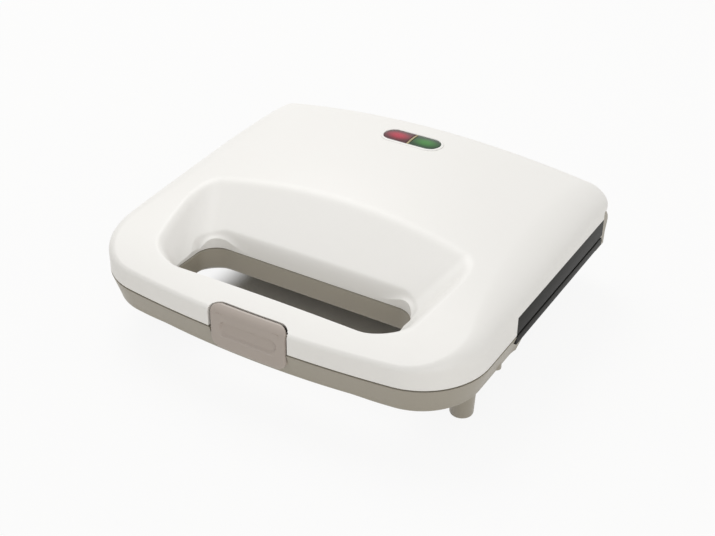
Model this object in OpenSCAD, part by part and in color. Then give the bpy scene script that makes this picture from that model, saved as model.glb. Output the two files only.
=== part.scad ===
// Two-slice sandwich toaster with a hinged lid, modelled closed.
// Millimetres, X to the right, Y to the back, Z up. The origin is on the table under the middle
// of the body, and the handle side faces -Y.

/* [Body] */
// Width across the two shells
body_w = 240; // [225:1:260]
// Depth from the front of the handle to the back of the lid
body_d = 217; // [210:1:230]
// Height of the seam between the two shells above the table
seam_z = 40; // [38:0.5:44]
// Gap between the two shells at the seam
seam_gap = 0.8; // [0.4:0.1:1.2]
// Radius of the bowed front in plan
front_r = 643; // [500:1:900]
// Radius of the front corners in plan
corner_r = 41; // [32:1:46]
// Radius of the rear corners in plan
rear_corner_r = 15; // [10:1:18]
// Wall thickness of the moulded shells
wall = 2.5; // [2:0.1:3]

/* [Lid] */
// Height of the upright band round the lid's front
band_h = 12; // [9:0.5:14]
// Height of the lid's crest above the seam
lid_h = 43.2; // [40:0.1:50]
// Distance of the crest from the back
crest_back = 44.5; // [36:0.5:56]
// Radius of the shoulders along the lid's sides
shoulder_r = 20; // [14:0.5:22]
// How far the shoulders lie below the crest
shoulder_drop = 8.2; // [6:0.1:10]
// Radius of the lid's back shoulder
back_shoulder_r = 18; // [12:0.5:20]

/* [Hand recess] */
// Width of the lid beside the scooped recess, at each side
recess_side = 29; // [26:0.5:40]
// Thickness of the handle bar, front to back, at its top
bar_d = 17.5; // [15:0.5:20]
// Distance from the front to the recess's back edge
recess_d = 106; // [98:1:110]
// Depth of the upright wall behind the slot, above the slot's rim
recess_step = 15; // [12:0.5:16]
// Length of the through slot along X
slot_w = 140; // [120:1:150]
// Width of the through slot front to back
slot_d = 34; // [30:0.5:35]
// Corner radius of the slot
slot_r = 13; // [8:0.5:15]
// Height of the slot's rim above the seam
rim_h = 6; // [4:0.5:8]

/* [Lower shell] */
// Height of the upright front wall of the lower shell
skirt_h = 17; // [14:0.5:18]
// How far the lower shell draws in at the bottom of that wall
skirt_draft = 4.4; // [2:0.1:6]
// Height of the belly floor above the table
belly_z = 10; // [8:0.5:12]
// How far the belly floor draws in at each side
belly_in = 23; // [20:0.5:30]
// Height of the front posts' and rear feet's rubber above the table
pad_h = 2; // [1.5:0.1:3]
// Radius of the rubber pads
pad_r = 5; // [4:0.1:5.5]
// Radius of the feet at the bottom
foot_r = 6.5; // [6:0.1:8]
// Distance of the front posts' middles from the sides
front_foot_in = 17; // [15:0.5:24]
// Distance of the rear feet's middles from the sides
rear_foot_in = 36; // [32:0.5:50]

/* [Side openings] */
// Where the side openings start, from the front
side_front = 79; // [74:0.5:90]
// Height of the opening in the lid's side
side_up = 12; // [9:0.5:13]
// Depth of the opening in the lower shell's side
side_down = 5.5; // [4:0.5:7]

/* [Grill plates] */
// Width of the frame beside the plates
plate_side = 14; // [13.5:0.5:20]
// Width of the frame in front of the plates
plate_front = 11.5; // [10:0.5:16]
// Width of the frame behind the plates
plate_rear = 3.2; // [3:0.1:6]
// Thickness of the cast plates
plate_t = 2.5; // [2:0.1:3]
// Depth of the bread pockets in each plate
pocket_h = 12; // [8:0.5:13]
// Width of the ridges between and around the pockets
ridge_w = 6; // [5:0.5:9]
// Radius of the tubular heating elements
element_r = 3.2; // [2.8:0.1:3.5]

/* [Hinge] */
// Height of the hinge line above the seam
hinge_up = 4; // [3:0.5:5]
// Radius of the barrel round the hinge line
barrel_r = 9.5; // [9:0.1:10]
// Width of the ears on the lower shell
ear_w = 13.2; // [12:0.1:14]
// Outer radius of the hollow hinge sleeves
sleeve_r = 4; // [3.5:0.1:4.5]
// Bore radius of the hinge sleeves
sleeve_bore_r = 2.6; // [2.2:0.1:2.8]
// Running clearance of the sleeves and pins in their bores
run_fit = 0.05; // [0.02:0.01:0.08]

/* [Latch] */
// Width of the latch
latch_w = 48.4; // [40:0.1:56]
// Height of the latch's lower edge above the table
latch_z = 28.2; // [26.5:0.1:29]
// How far the latch stands proud of the front
latch_proud = 1.8; // [1:0.1:2.5]
// Gap between the latch and its pocket
latch_gap = 0.7; // [0.5:0.1:1]
// Radius of the latch pin
latch_pin_r = 1.5; // [1.2:0.1:1.7]

/* [Indicator] */
// Length of the indicator window
window_w = 38.4; // [32:0.1:44]
// Width of the indicator window
window_d = 13; // [10:0.1:15]
// Distance of the window from the back
window_back = 38.8; // [34:0.1:46]

/* [Screws] */
// Shank radius of the self-tapping screws
screw_r = 1.5; // [1.2:0.1:1.6]
// Head radius of the screws
screw_head_r = 2.7; // [2.4:0.1:2.8]

/* [Hidden] */
$fn = 64;

half_w = body_w / 2;
half_d = body_d / 2;
recess_w = body_w - 2 * recess_side;
belly_w = body_w - 2 * belly_in;
front_foot_x = half_w - front_foot_in;
rear_foot_x = half_w - rear_foot_in;
fit = 0.3;                                  // air between fixed neighbours
front_cy = front_r - half_d;                // centre of the front's bow
corner_x = half_w - corner_r;               // centre of a front corner
corner_y = front_cy - sqrt(pow(front_r - corner_r, 2) - corner_x * corner_x) - 0.4;
lid_z = seam_z + seam_gap / 2;              // lower edge of the lid
base_z = seam_z - seam_gap / 2;             // upper edge of the lower shell
band_z = seam_z + band_h;
crest_z = seam_z + lid_h;
crest_y = half_d - crest_back;
rise = crest_z - band_z;
profile_r = (pow(crest_y + half_d, 2) + rise * rise) / (2 * rise);
crown_x = half_w - shoulder_r;
crown_r = (crown_x * crown_x + shoulder_drop * shoulder_drop) / (2 * shoulder_drop);
shoulder_z = crest_z - shoulder_drop - shoulder_r;
function lid_top(y) = crest_z - profile_r + sqrt(profile_r * profile_r - pow(y - crest_y, 2));
back_y = half_d - back_shoulder_r;
back_z = lid_top(back_y) - back_shoulder_r;

bar_y = bar_d - half_d;                     // back face of the handle bar
slot_front = bar_y + 3.5;
slot_back = slot_front + slot_d;
slot_y = (slot_front + slot_back) / 2;
rim_z = seam_z + rim_h;                     // lid's rim round the slot
collar_z = rim_z - seam_gap;                // top of the lower shell's collar
collar_t = 2.2;
step_z = rim_z + recess_step;
skirt_z = base_z - skirt_h;
under_z = base_z - 7;                       // lower edge of the collar's back wall
slope_y = slot_back + 1.4 * (under_z - belly_z);
floor_z = belly_z + wall;
belly_rear = half_d - 12;
base_rear = half_d - 3.5;
knee_z = base_z - side_down - 0.6;

hinge_y = half_d - barrel_r;
hinge_z = seam_z + hinge_up;
rear_rim_z = hinge_z - barrel_r - 2.2;
ear_x = half_w - wall - fit - ear_w;        // inner face of an ear
knuckle_x = ear_x - 0.8;                    // outer end of the lid's barrel
knuckle_w = 15;
ear_r = barrel_r - 0.5;
ear_front = hinge_y - 6.2;
ear_clear = 4;                              // air between ear and lid above it
sleeve_x = knuckle_x - knuckle_w + 0.6;
sleeve_end = ear_x + 5;
lead_x = sleeve_end + 3;
lead_r = 1.6;
lead_run = 52;                              // length of the lead along the hinge line

side_y0 = side_front - half_d;
side_y1 = ear_front - fit;
plate_gap = 0.5;                            // plate face behind the shell edge
frame_front = slot_back + 6;
frame_rear = hinge_y - barrel_r - fit;
plate_w = body_w - 2 * plate_side;
plate_d = frame_rear - frame_front - plate_front - plate_rear;
plate_y = frame_front + plate_front + plate_d / 2;
ledge_w = 4;
frame_x = half_w - wall - fit;
dome_w = (plate_w - 2 * (ledge_w + 1.5) - 1) / 2;
dome_d = plate_d - 2 * (ledge_w + 1.5);
tray_w = plate_w - 24;
tray_d = dome_d - 16;
tray_h = 2 * element_r + 1.4;
tray_t = 0.8;
element_run = plate_w - 62;
element_bend = tray_d / 2 - 17.5;
cold_end = 8;                               // bare end of an element
cold_r = 1.2;
thermostat_x = 40;
thermostat_r = 8;
boss_r = 3.2;
boss_x = frame_x - boss_r - 0.6;
boss_front = frame_front + 8;
boss_rear = plate_y + plate_d / 2 - 26;
frame_screw_l = 9;
cover_screw_l = 8;
cover_t = 2.2;
cover_boss = [recess_w / 2 + wall + boss_r + 2.4, bar_y + 11];
foot_y = slot_back - 3;
rear_foot_y = half_d - 24;

latch_y = 4 - half_d;                       // latch pin
latch_pin_z = band_z - 3.3;
pocket_hw = latch_w / 2 + latch_gap;
pocket_y = 2.3 - half_d;
latch_rib = 2.8;
notch_y = latch_y + 1.6;
hook_z = latch_z + 1.6;
hook_h = 2.7;
hook_w = 14;

window_y = half_d - window_back;
window_z = lid_top(window_y);
bezel_t = 1.7;
grommet_x = 60;
grommet_z = 22;
grommet_bore_r = 3.2;
rear_y0 = hinge_y - 13;                     // front of the wiring channel at the back
terminal_x = 22;                            // middle of the terminal block
terminal_w = 28;
terminal_d = 9;
terminal_h = 11;
terminal_pitch = 8.5;
fuse_x = 8;
fuse_r = 2.6;
fuse_w = 14;
clamp_w = 18;
clamp_d = 8;
lamp_x = 8;                                 // each neon lamp from the window's middle
lamp_r = 2.6;
lamp_h = 4;
bezel_h = 4;                                // height of the bezel, lenses and light bar

c_white = "WhiteSmoke";
c_beige = [0.66, 0.63, 0.58];
c_dark = [0.2, 0.2, 0.2];
c_metal = "Silver";

// ---------------------------------------------------------------- outlines and forms

// Turns an outline in (y, z) into a bar along X, centred on x = 0
module along_x(w) { rotate([90, 0, 90]) linear_extrude(w, center = true) children(); }
// Turns an outline in (x, z) into a bar along Y, centred on y = 0
module along_y(d) { rotate([90, 0, 0]) linear_extrude(d, center = true) children(); }
module both_sides() { children(); mirror([1, 0, 0]) children(); }
// Bar of radius r along X about the line (y, z)
module rod_x(r, w, y, z) { translate([0, y, z]) rotate([0, 90, 0]) cylinder(r = r, h = w, center = true); }
module box(x0, x1, y0, y1, z0, z1) { translate([x0, y0, z0]) cube([x1 - x0, y1 - y0, z1 - z0]); }

// Plan of both shells, drawn in by t: bowed front, round corners, straight sides and back
module plan(t = 0) {
  w = half_w - t;
  back = half_d - t;
  rb = rear_corner_r - t;
  intersection() {
    translate([0, front_cy]) circle(front_r - t, $fn = 720);
    union() {
      for (s = [-1, 1]) {
        translate([s * corner_x, corner_y]) circle(corner_r - t, $fn = 96);
        translate([s * (w - rb), back - rb]) circle(rb);
      }
      translate([-corner_x, -half_d - 1]) square([2 * corner_x, corner_y + half_d + 2]);
      translate([-w, corner_y]) square([2 * w, back - rb - corner_y]);
      translate([rb - w, corner_y]) square([2 * (w - rb), back - corner_y]);
    }
  }
}

// Outline of the slot, grown by g
module slot_outline(g = 0) {
  for (s = [-1, 1], t = [-1, 1])
    translate([s * (slot_w / 2 - slot_r), slot_y + t * (slot_d / 2 - slot_r)])
      circle(slot_r + g);
  square_at(slot_w - 2 * slot_r, slot_d + 2 * g);
  square_at(slot_w + 2 * g, slot_d - 2 * slot_r);
}
module square_at(w, d) { translate([-w / 2, slot_y - d / 2]) square([w, d]); }

// Lid's outer form, drawn in by t and reaching down to z0
module lid_form(t, z0) {
  intersection() {
    translate([0, 0, z0]) linear_extrude(crest_z + 2 - z0) plan(t);
    along_x(body_w + 10) {
      intersection() {
        translate([crest_y, crest_z - profile_r]) circle(profile_r - t, $fn = 720);
        translate([-half_d - 5, z0]) square([half_d + 5 + back_y, crest_z + 5 - z0]);
      }
      translate([back_y, back_z]) circle(back_shoulder_r - t);
      translate([0, z0]) square([half_d - t, back_z - z0]);
    }
    along_y(body_d + 10) {
      intersection() {
        translate([0, crest_z - crown_r]) circle(crown_r - t, $fn = 720);
        translate([-crown_x, z0]) square([2 * crown_x, crest_z + 5 - z0]);
      }
      for (s = [-1, 1]) translate([s * crown_x, shoulder_z]) circle(shoulder_r - t);
      translate([t - half_w, z0]) square([body_w - 2 * t, shoulder_z - z0]);
    }
  }
}

// Space of the scooped hand recess above the slot's rim, grown by g for its wall
module recess(g = 0) {
  top_r = 16;
  step_r = 14;
  hull() {
    translate([0, 0, crest_z]) linear_extrude(0.1) {
      for (s = [-1, 1]) {
        translate([s * (recess_w / 2 - top_r), bar_y + top_r]) circle(top_r + g, $fn = 32);
        translate([s * (recess_w / 2 - top_r - 3), recess_d - half_d - top_r - 4])
          circle(top_r + g, $fn = 32);
      }
      translate([0, recess_d - half_d - top_r + 7]) circle(top_r + g, $fn = 32);
    }
    step_slab(step_r, g);
  }
  hull() {
    step_slab(step_r, g);
    translate([0, 0, rim_z]) linear_extrude(0.1)
      for (s = [-1, 1], y = [slot_front + slot_r, slot_back - slot_r])
        translate([s * (slot_w / 2 - slot_r), y]) circle(slot_r + g, $fn = 32);
  }
}
module step_slab(r, g) {
  translate([0, 0, step_z]) linear_extrude(0.1)
    for (s = [-1, 1], y = [bar_y + r, slot_back + 3 - r])
      translate([s * (recess_w / 2 - 7 - r), y]) circle(r + g, $fn = 32);
}

// Drafted front wall of the lower shell, drawn in by t: the cone that each arc of the plan becomes
module skirt(t, z0) {
  d = skirt_draft * (base_z - z0) / skirt_h;
  h = base_z - z0;
  y1 = foot_y + 20;
  intersection() {
    translate([0, front_cy, z0]) cylinder(r1 = front_r - t - d, r2 = front_r - t, h = h, $fn = 720);
    union() {
      for (s = [-1, 1]) translate([s * corner_x, corner_y, z0])
        cylinder(r1 = corner_r - t - d, r2 = corner_r - t, h = h, $fn = 96);
      box(-corner_x, corner_x, -half_d - 1, y1, z0, base_z);
      translate([0, (corner_y + y1) / 2, 0]) along_y(y1 - corner_y) polygon([
        [t + d - half_w, z0], [half_w - t - d, z0], [half_w - t, base_z], [t - half_w, base_z]]);
    }
  }
}

// Lower shell's outer form, drawn in by t and open above where t > 0
module lower_form(t) {
  low = belly_z + t;
  z1 = t > 0 ? collar_z + 5 : base_z;
  skirt(t, skirt_z + t);
  if (t > 0) intersection() {
    translate([0, 0, base_z - 0.1]) linear_extrude(z1 - base_z + 0.1) plan(t);
    box(-half_w, half_w, -half_d - 1, foot_y + 20, 0, z1);
  }
  intersection() {
    translate([0, 0, low]) linear_extrude(z1 - low) plan(t);
    along_y(body_d + 10) polygon([
      [t - half_w, z1], [t - half_w, knee_z], [t - belly_w / 2, low],
      [belly_w / 2 - t, low], [half_w - t, knee_z], [half_w - t, z1]]);
    along_x(body_w + 10) polygon([
      [slot_back + t, z1], [slot_back + t, under_z], [slope_y + t * 0.6, low], [belly_rear, low],
      [base_rear - t, low + 6], [base_rear - t, z1]]);
  }
}

// Clear way of the slot through the lower shell, with the air under its sloping back
module lower_slot_way(g = 0) {
  translate([0, 0, -1]) linear_extrude(crest_z) slot_outline(g);
  along_x(slot_w + 2 * g - 4) polygon([
    [slot_back - 8, under_z + g], [slot_back - 1, under_z + g],
    [slope_y + 2 * g, belly_z + g * 0.6], [slope_y, belly_z - 2], [slot_back - 8, belly_z - 2]]);
}

module screws(places, z, up, length) {
  color(c_metal) for (p = places, s = [-1, 1]) translate([s * p[0], p[1], z])
    mirror([0, 0, up ? 0 : 1]) difference() {
      union() {
        cylinder(r = screw_head_r, h = 1.5);
        cylinder(r = screw_r, h = length);
      }
      translate([-1.8, -0.3, -0.1]) cube([3.6, 0.6, 0.8]);
      translate([-0.3, -1.8, -0.1]) cube([0.6, 3.6, 0.8]);
    }
}
frame_bosses = [[boss_x, boss_front], [boss_x, boss_rear]];
module bosses(places, z0, z1) {
  for (p = places, s = [-1, 1]) translate([s * p[0], p[1], z0]) cylinder(r = boss_r, h = z1 - z0);
}
module boss_holes(places, z0, z1) {
  for (p = places, s = [-1, 1])
    translate([s * p[0], p[1], z0]) cylinder(r = screw_r + run_fit, h = z1 - z0);
}

// ---------------------------------------------------------------- lower body

module lower_housing() {
  hole_x = 8.5;
  color(c_beige) difference() {
    union() {
      difference() {
        union() {
          lower_form(0);
          translate([0, 0, skirt_z + 2]) linear_extrude(collar_z - skirt_z - 2) slot_outline(collar_t);
        }
        difference() {
          lower_form(wall);
          translate([0, 0, -1]) linear_extrude(collar_z + 1) slot_outline(collar_t);
          lower_slot_way(wall);
          bosses(frame_bosses, 0, base_z - plate_gap - plate_t - fit);
          bosses([cover_boss], 0, base_z - cover_t - fit);
          tray_posts();
          box(-pocket_hw - 4, pocket_hw + 4, -half_d, pocket_y + wall, 0, collar_z);
        }
        lower_slot_way();
        box(-half_w, half_w, ear_front - 2.5, half_d + 1, rear_rim_z, collar_z + 6);
      }
      ears();
      feet();
    }
    both_sides() {
      translate([front_foot_x, foot_y, -1]) cylinder(r = pad_r + 0.05, h = pad_h + 1);
      translate([rear_foot_x, rear_foot_y, -1]) cylinder(r = pad_r + 0.05, h = pad_h + 1);
      box(half_w - wall - 0.5, half_w + 1, side_y0, side_y1, base_z - side_down, base_z + 1);
      translate([ear_x - 1, hinge_y, hinge_z]) rotate([0, 90, 0])
        cylinder(r = sleeve_r + run_fit, h = sleeve_end - ear_x + 1.3);
    }
    translate([-lead_x - 2, hinge_y, hinge_z]) rotate([0, 90, 0])
      cylinder(r = lead_r + fit, h = 8);
    translate([-lead_x, hinge_y, floor_z + 8]) cylinder(r = lead_r + fit, h = hinge_z - floor_z - 8);
    boss_holes(frame_bosses, base_z - plate_gap - plate_t - 8, base_z);
    boss_holes([cover_boss], base_z - cover_t - 8, base_z);
    box(-pocket_hw, pocket_hw, -half_d - 3, pocket_y, 0, collar_z);
    box(-hole_x, hole_x, -half_d, pocket_y + wall + 1, hook_z - 0.8, hook_z + hook_h + 0.5);
    translate([grommet_x, base_rear - wall - 1, grommet_z]) rotate([-90, 0, 0])
      cylinder(r = grommet_bore_r + 1.5 + 0.05, h = wall + 3);
  }
}
// Ears that carry the hinge sleeves
module ears() {
  intersection() {
    linear_extrude(crest_z) plan(1);
    both_sides() intersection() {
      union() {
        translate([ear_x, hinge_y, hinge_z]) rotate([0, 90, 0]) cylinder(r = ear_r, h = ear_w);
        box(ear_x, ear_x + ear_w, ear_front, base_rear, floor_z + 10, hinge_z);
      }
      box(ear_x, ear_x + ear_w, ear_front, half_d, 0, crest_z);
    }
  }
}
// Tapered posts in front and short feet at the back
module feet() {
  both_sides() {
    translate([front_foot_x, foot_y, 0.6]) cylinder(r1 = foot_r, r2 = foot_r + 1.2, h = skirt_z + 1);
    translate([rear_foot_x, rear_foot_y, 0.6]) cylinder(r1 = foot_r, r2 = foot_r + 0.8, h = belly_z + 1);
  }
}
// Short posts on the belly floor that carry the lower reflector
module tray_posts() {
  both_sides() for (y = [plate_y - tray_d / 2 + 12, plate_y + tray_d / 2 - 12])
    translate([tray_w / 2 - 14, y, 0]) cylinder(r = 4, h = lower_tray_z - fit / 2);
}

module lower_handle_cover() {
  color(c_beige) handle_cover(base_z - cover_t, wall + fit);
}
// Flat cover round the slot, between a shell's wall and the slot
module handle_cover(z, g) {
  difference() {
    translate([0, 0, z]) linear_extrude(cover_t) difference() {
      intersection() {
        plan(wall + skirt_draft / 3 + fit);
        translate([-half_w, -half_d]) square([body_w, half_d + frame_front - fit]);
      }
      slot_outline(g);
      translate([-pocket_hw - 5, -half_d - 1])
        square([2 * pocket_hw + 10, pocket_y + wall + fit + half_d + 1]);
    }
    boss_holes([cover_boss], z - 1, z + cover_t + 1);
    for (s = [-1, 1]) translate([s * cover_boss[0], cover_boss[1], z > seam_z ? z - 1 : z + cover_t - 1.6])
      cylinder(r = screw_head_r + 0.2, h = 2.6);
  }
}
module lower_cover_screws() { screws([cover_boss], base_z - 0.05, false, cover_screw_l); }

module foot_pads() {
  color(c_dark) both_sides() {
    translate([front_foot_x, foot_y, 0]) cylinder(r = pad_r, h = pad_h - 0.05);
    translate([rear_foot_x, rear_foot_y, 0]) cylinder(r = pad_r, h = pad_h - 0.05);
  }
}

// Frame round a plate, drawn for the lid; edge_h is the height of its lip in the side openings
module plate_frame(face_z, edge_h) {
  opening_w = plate_w + 2 * fit;
  opening_d = plate_d + 2 * fit;
  difference() {
    union() {
      box(-frame_x, frame_x, frame_front, frame_rear, face_z, face_z + plate_t);
      both_sides() box(frame_x - 1, half_w, side_y0 + fit, frame_rear, face_z, face_z + plate_t);
      both_sides() box(half_w - wall, half_w, side_y0 + fit, side_y1 - fit, face_z, face_z + edge_h);
      box(-opening_w / 2 - 2, opening_w / 2 + 2, plate_y - opening_d / 2 - 2,
        min(plate_y + opening_d / 2 + 2, frame_rear), face_z, face_z + plate_t + 2.3);
    }
    box(-opening_w / 2, opening_w / 2, plate_y - opening_d / 2, plate_y + opening_d / 2,
      face_z - 1, face_z + plate_t + 0.15);
    box(-opening_w / 2 + ledge_w, opening_w / 2 - ledge_w, plate_y - opening_d / 2 + ledge_w,
      plate_y + opening_d / 2 - ledge_w, face_z, face_z + 20);
    for (p = frame_bosses, s = [-1, 1]) translate([s * p[0], p[1], face_z - 1]) {
      cylinder(r = screw_r + 0.2, h = plate_t + 2);
      cylinder(r = screw_head_r + 0.2, h = 2.6);
    }
  }
}
module flip(z) { translate([0, 0, 2 * z]) mirror([0, 0, 1]) children(); }

upper_face_z = lid_z + plate_gap;
upper_tray_z = upper_face_z + plate_t + pocket_h + 0.2;
lower_tray_z = 2 * seam_z - upper_tray_z - tray_h;

module lower_plate_frame() { color(c_dark) flip(seam_z) plate_frame(upper_face_z, side_down - plate_gap - fit); }
module lower_frame_screws() { screws(frame_bosses, base_z - plate_gap - 0.05, false, frame_screw_l); }

// Cast plate with four triangular pockets, drawn for the lid
module grill_plate(face_z) {
  back_z = face_z + plate_t;
  difference() {
    union() {
      box(-plate_w / 2, plate_w / 2, plate_y - plate_d / 2, plate_y + plate_d / 2, face_z, back_z);
      both_sides() hull() {
        dome(0, back_z - 0.2);
        dome(4, back_z + pocket_h - 0.1);
      }
    }
    for (s = [-1, 1]) bread_pocket(s, 1, face_z);
    for (s = [-1, 1]) bread_pocket(s, -1, face_z);
  }
}
module dome(t, z) {
  r = 8;
  translate([0.5 + t, plate_y - dome_d / 2 + t, z]) linear_extrude(0.1)
    for (x = [r, dome_w - 2 * t - r], y = [r, dome_d - 2 * t - r])
      translate([x, y]) circle(r, $fn = 32);
}
// One triangular pocket: s picks the half, and t = 1 its outer back triangle, -1 its inner front one
module bread_pocket(s, t, z) {
  hull() {
    pocket_slab(s, t, 0, z - 0.1);
    pocket_slab(s, t, 4, z + pocket_h);
  }
}
module pocket_slab(s, t, inset, z) {
  r = 4;
  w = dome_w - 2 * ridge_w;
  d = dome_d - 2 * ridge_w;
  cx = s * (0.5 + dome_w / 2);
  diag = ridge_w * 0.7;
  a = inset + r;
  u = s * t;
  translate([cx, plate_y, z]) linear_extrude(0.1) {
    translate([u * (w / 2 - a), t * (d / 2 - a)]) circle(r, $fn = 24);
    translate([-u * (w / 2 - a * 2.2 - diag), t * (d / 2 - a)]) circle(r, $fn = 24);
    translate([u * (w / 2 - a), -t * (d / 2 - a * 2.2 - diag)]) circle(r, $fn = 24);
  }
}
module lower_plate() { color([0.28, 0.28, 0.29]) flip(seam_z) grill_plate(upper_face_z); }

// Tubular element bent to a U on the plate's back, with its two cold ends, drawn for the lid
module heating_element(z) {
  translate([0, plate_y, z + element_r]) {
    for (s = [-1, 1]) {
      translate([-element_run / 2, s * element_bend, 0]) rotate([0, 90, 0])
        cylinder(r = element_r, h = element_run - element_bend);
      translate([-element_run / 2 - cold_end, s * element_bend, 0]) rotate([0, 90, 0])
        cylinder(r = cold_r, h = cold_end + 1);
    }
    translate([element_run / 2 - element_bend, 0, 0]) rotate([0, 0, -90])
      rotate_extrude(angle = 180) translate([element_bend, 0]) circle(element_r, $fn = 32);
  }
}
module lower_heating_element() { color("DimGray") flip(seam_z) heating_element(upper_tray_z); }

// Sheet tray over the element, drawn for the lid
module reflector(z) {
  y0 = plate_y - tray_d / 2;
  difference() {
    box(-tray_w / 2, tray_w / 2, y0, y0 + tray_d, z, z + tray_h);
    box(tray_t - tray_w / 2, tray_w / 2 - tray_t, y0 + tray_t, y0 + tray_d - tray_t, z - 1,
      z + tray_h - tray_t);
  }
}
module lower_reflector() { color(c_metal) flip(seam_z) reflector(upper_tray_z); }

module terminal_block() {
  z = floor_z + 0.05;
  color("Ivory") translate([-terminal_x, 0, 0]) difference() {
    box(-terminal_w / 2, terminal_w / 2, rear_y0, rear_y0 + terminal_d, z, z + terminal_h);
    for (i = [-1:1]) translate([i * terminal_pitch, 0, 0]) {
      translate([0, rear_y0 - 1, z + terminal_h / 2]) rotate([-90, 0, 0])
        cylinder(r = 1.8, h = terminal_d + 2);
      translate([0, rear_y0 + terminal_d / 2, z + terminal_h / 2]) cylinder(r = 1.6, h = terminal_h);
    }
  }
}
module thermal_fuse() {
  color("Tan") translate([fuse_x, rear_y0 + 4, floor_z + fuse_r + 0.05]) rotate([0, 90, 0]) {
    cylinder(r = fuse_r, h = fuse_w);
    translate([0, 0, -6]) cylinder(r = 0.6, h = fuse_w + 12);
  }
}
module cord_clamp() {
  color(c_dark) difference() {
    box(grommet_x - clamp_w / 2, grommet_x + clamp_w / 2, rear_y0, rear_y0 + clamp_d,
      floor_z + 0.05, grommet_z + 2);
    translate([grommet_x, rear_y0 - 1, grommet_z]) rotate([-90, 0, 0])
      cylinder(r = grommet_bore_r + fit, h = clamp_d + 2);
  }
}
module cord_grommet() {
  color(c_dark) translate([grommet_x, base_rear, grommet_z]) rotate([-90, 0, 0]) difference() {
    union() {
      translate([0, 0, -wall - 0.5]) cylinder(r = grommet_bore_r + 1.5, h = wall + 1);
      translate([0, 0, 0.05]) cylinder(r = grommet_bore_r + 3, h = 1.6);
    }
    translate([0, 0, -wall - 1]) cylinder(r = grommet_bore_r, h = wall + 4);
  }
}

module hinge_sleeve() {
  color(c_metal) translate([sleeve_x, hinge_y, hinge_z]) rotate([0, 90, 0]) difference() {
    cylinder(r = sleeve_r, h = sleeve_end - sleeve_x);
    translate([0, 0, -1]) cylinder(r = sleeve_bore_r, h = sleeve_end - sleeve_x + 2);
  }
}
module hinge_sleeve_right() { hinge_sleeve(); }
module hinge_sleeve_left() { mirror([1, 0, 0]) hinge_sleeve(); }
// Insulated lead to the lid: up the left ear and along the hinge line
module lid_lead() {
  color("White") {
    translate([-lead_x, hinge_y, floor_z + 9]) cylinder(r = lead_r, h = hinge_z - floor_z - 9);
    translate([-lead_x, hinge_y, hinge_z]) sphere(lead_r);
    translate([-lead_x, hinge_y, hinge_z]) rotate([0, 90, 0]) cylinder(r = lead_r, h = lead_run);
  }
}

// ---------------------------------------------------------------- lid

module upper_housing() {
  color(c_white) difference() {
    union() {
      difference() {
        lid_form(0, lid_z);
        difference() {
          lid_form(wall, lid_z - 1);
          recess(wall);
          bosses(frame_bosses, upper_face_z + plate_t + fit / 2, crest_z);
          bosses([cover_boss], lid_z + cover_t + 0.05, crest_z);
          both_sides() box(pocket_hw + 0.5, pocket_hw + 0.5 + latch_rib, -half_d, latch_y + 4,
            lid_z + cover_t + fit, crest_z);
        }
        box(-half_w - 1, half_w + 1, hinge_y, half_d + 1, lid_z - 1, hinge_z);
      }
      barrel();
    }
    recess();
    both_sides() {
      box(half_w - wall - 0.5, half_w + 1, side_y0, side_y1, lid_z - 1, seam_z + side_up);
      box(knuckle_x, half_w + 1, side_y1 - 0.6, half_d + 1, lid_z - 1, hinge_z + ear_r + ear_clear);
    }
    rod_x(sleeve_r + run_fit, 2 * knuckle_x + 2, hinge_y, hinge_z);
    rod_x(latch_pin_r + run_fit, 2 * (pocket_hw + latch_rib) + 2, latch_y, latch_pin_z);
    box(-pocket_hw, pocket_hw, -half_d - 3, notch_y, lid_z - 1, crest_z);
    boss_holes(frame_bosses, lid_z, upper_face_z + 10);
    boss_holes([cover_boss], lid_z, lid_z + 10);
    translate([0, window_y, 0]) linear_extrude(crest_z + 5) pill(bezel_t + 0.05);
  }
}
// Hollow barrel along the lid's back, solid where it turns on the sleeves
module barrel() {
  difference() {
    rod_x(barrel_r, 2 * knuckle_x, hinge_y, hinge_z);
    rod_x(barrel_r - wall, 2 * (knuckle_x - knuckle_w), hinge_y, hinge_z);
    box(-knuckle_x + knuckle_w, knuckle_x - knuckle_w, hinge_y - barrel_r - 1, hinge_y, hinge_z, crest_z);
    box(-knuckle_x + knuckle_w, knuckle_x - knuckle_w, hinge_y - 1, hinge_y + barrel_r - wall, hinge_z, crest_z);
  }
}
module upper_handle_cover() { color(c_white) handle_cover(lid_z, collar_t + 2 * fit); }
module upper_cover_screws() { screws([cover_boss], lid_z + 0.05, true, cover_screw_l); }
module upper_plate_frame() { color(c_dark) plate_frame(upper_face_z, side_up + seam_z - upper_face_z - fit); }
module upper_frame_screws() { screws(frame_bosses, upper_face_z + 0.05, true, frame_screw_l); }
module upper_plate() { color([0.28, 0.28, 0.29]) grill_plate(upper_face_z); }
module upper_heating_element() { color("DimGray") heating_element(upper_tray_z); }
module upper_reflector() { color(c_metal) reflector(upper_tray_z); }
module thermostat() {
  r = thermostat_r;
  color("Sienna") translate([-thermostat_x, plate_y, upper_tray_z + tray_h + 0.05]) {
    cylinder(r = r, h = r * 0.625);
    cylinder(r = r * 0.375, h = r);
    for (s = [-1, 1]) translate([s * (r + 2) - 3, -2.5, 1.2]) cube([6, 5, 0.8]);
  }
}

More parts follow.
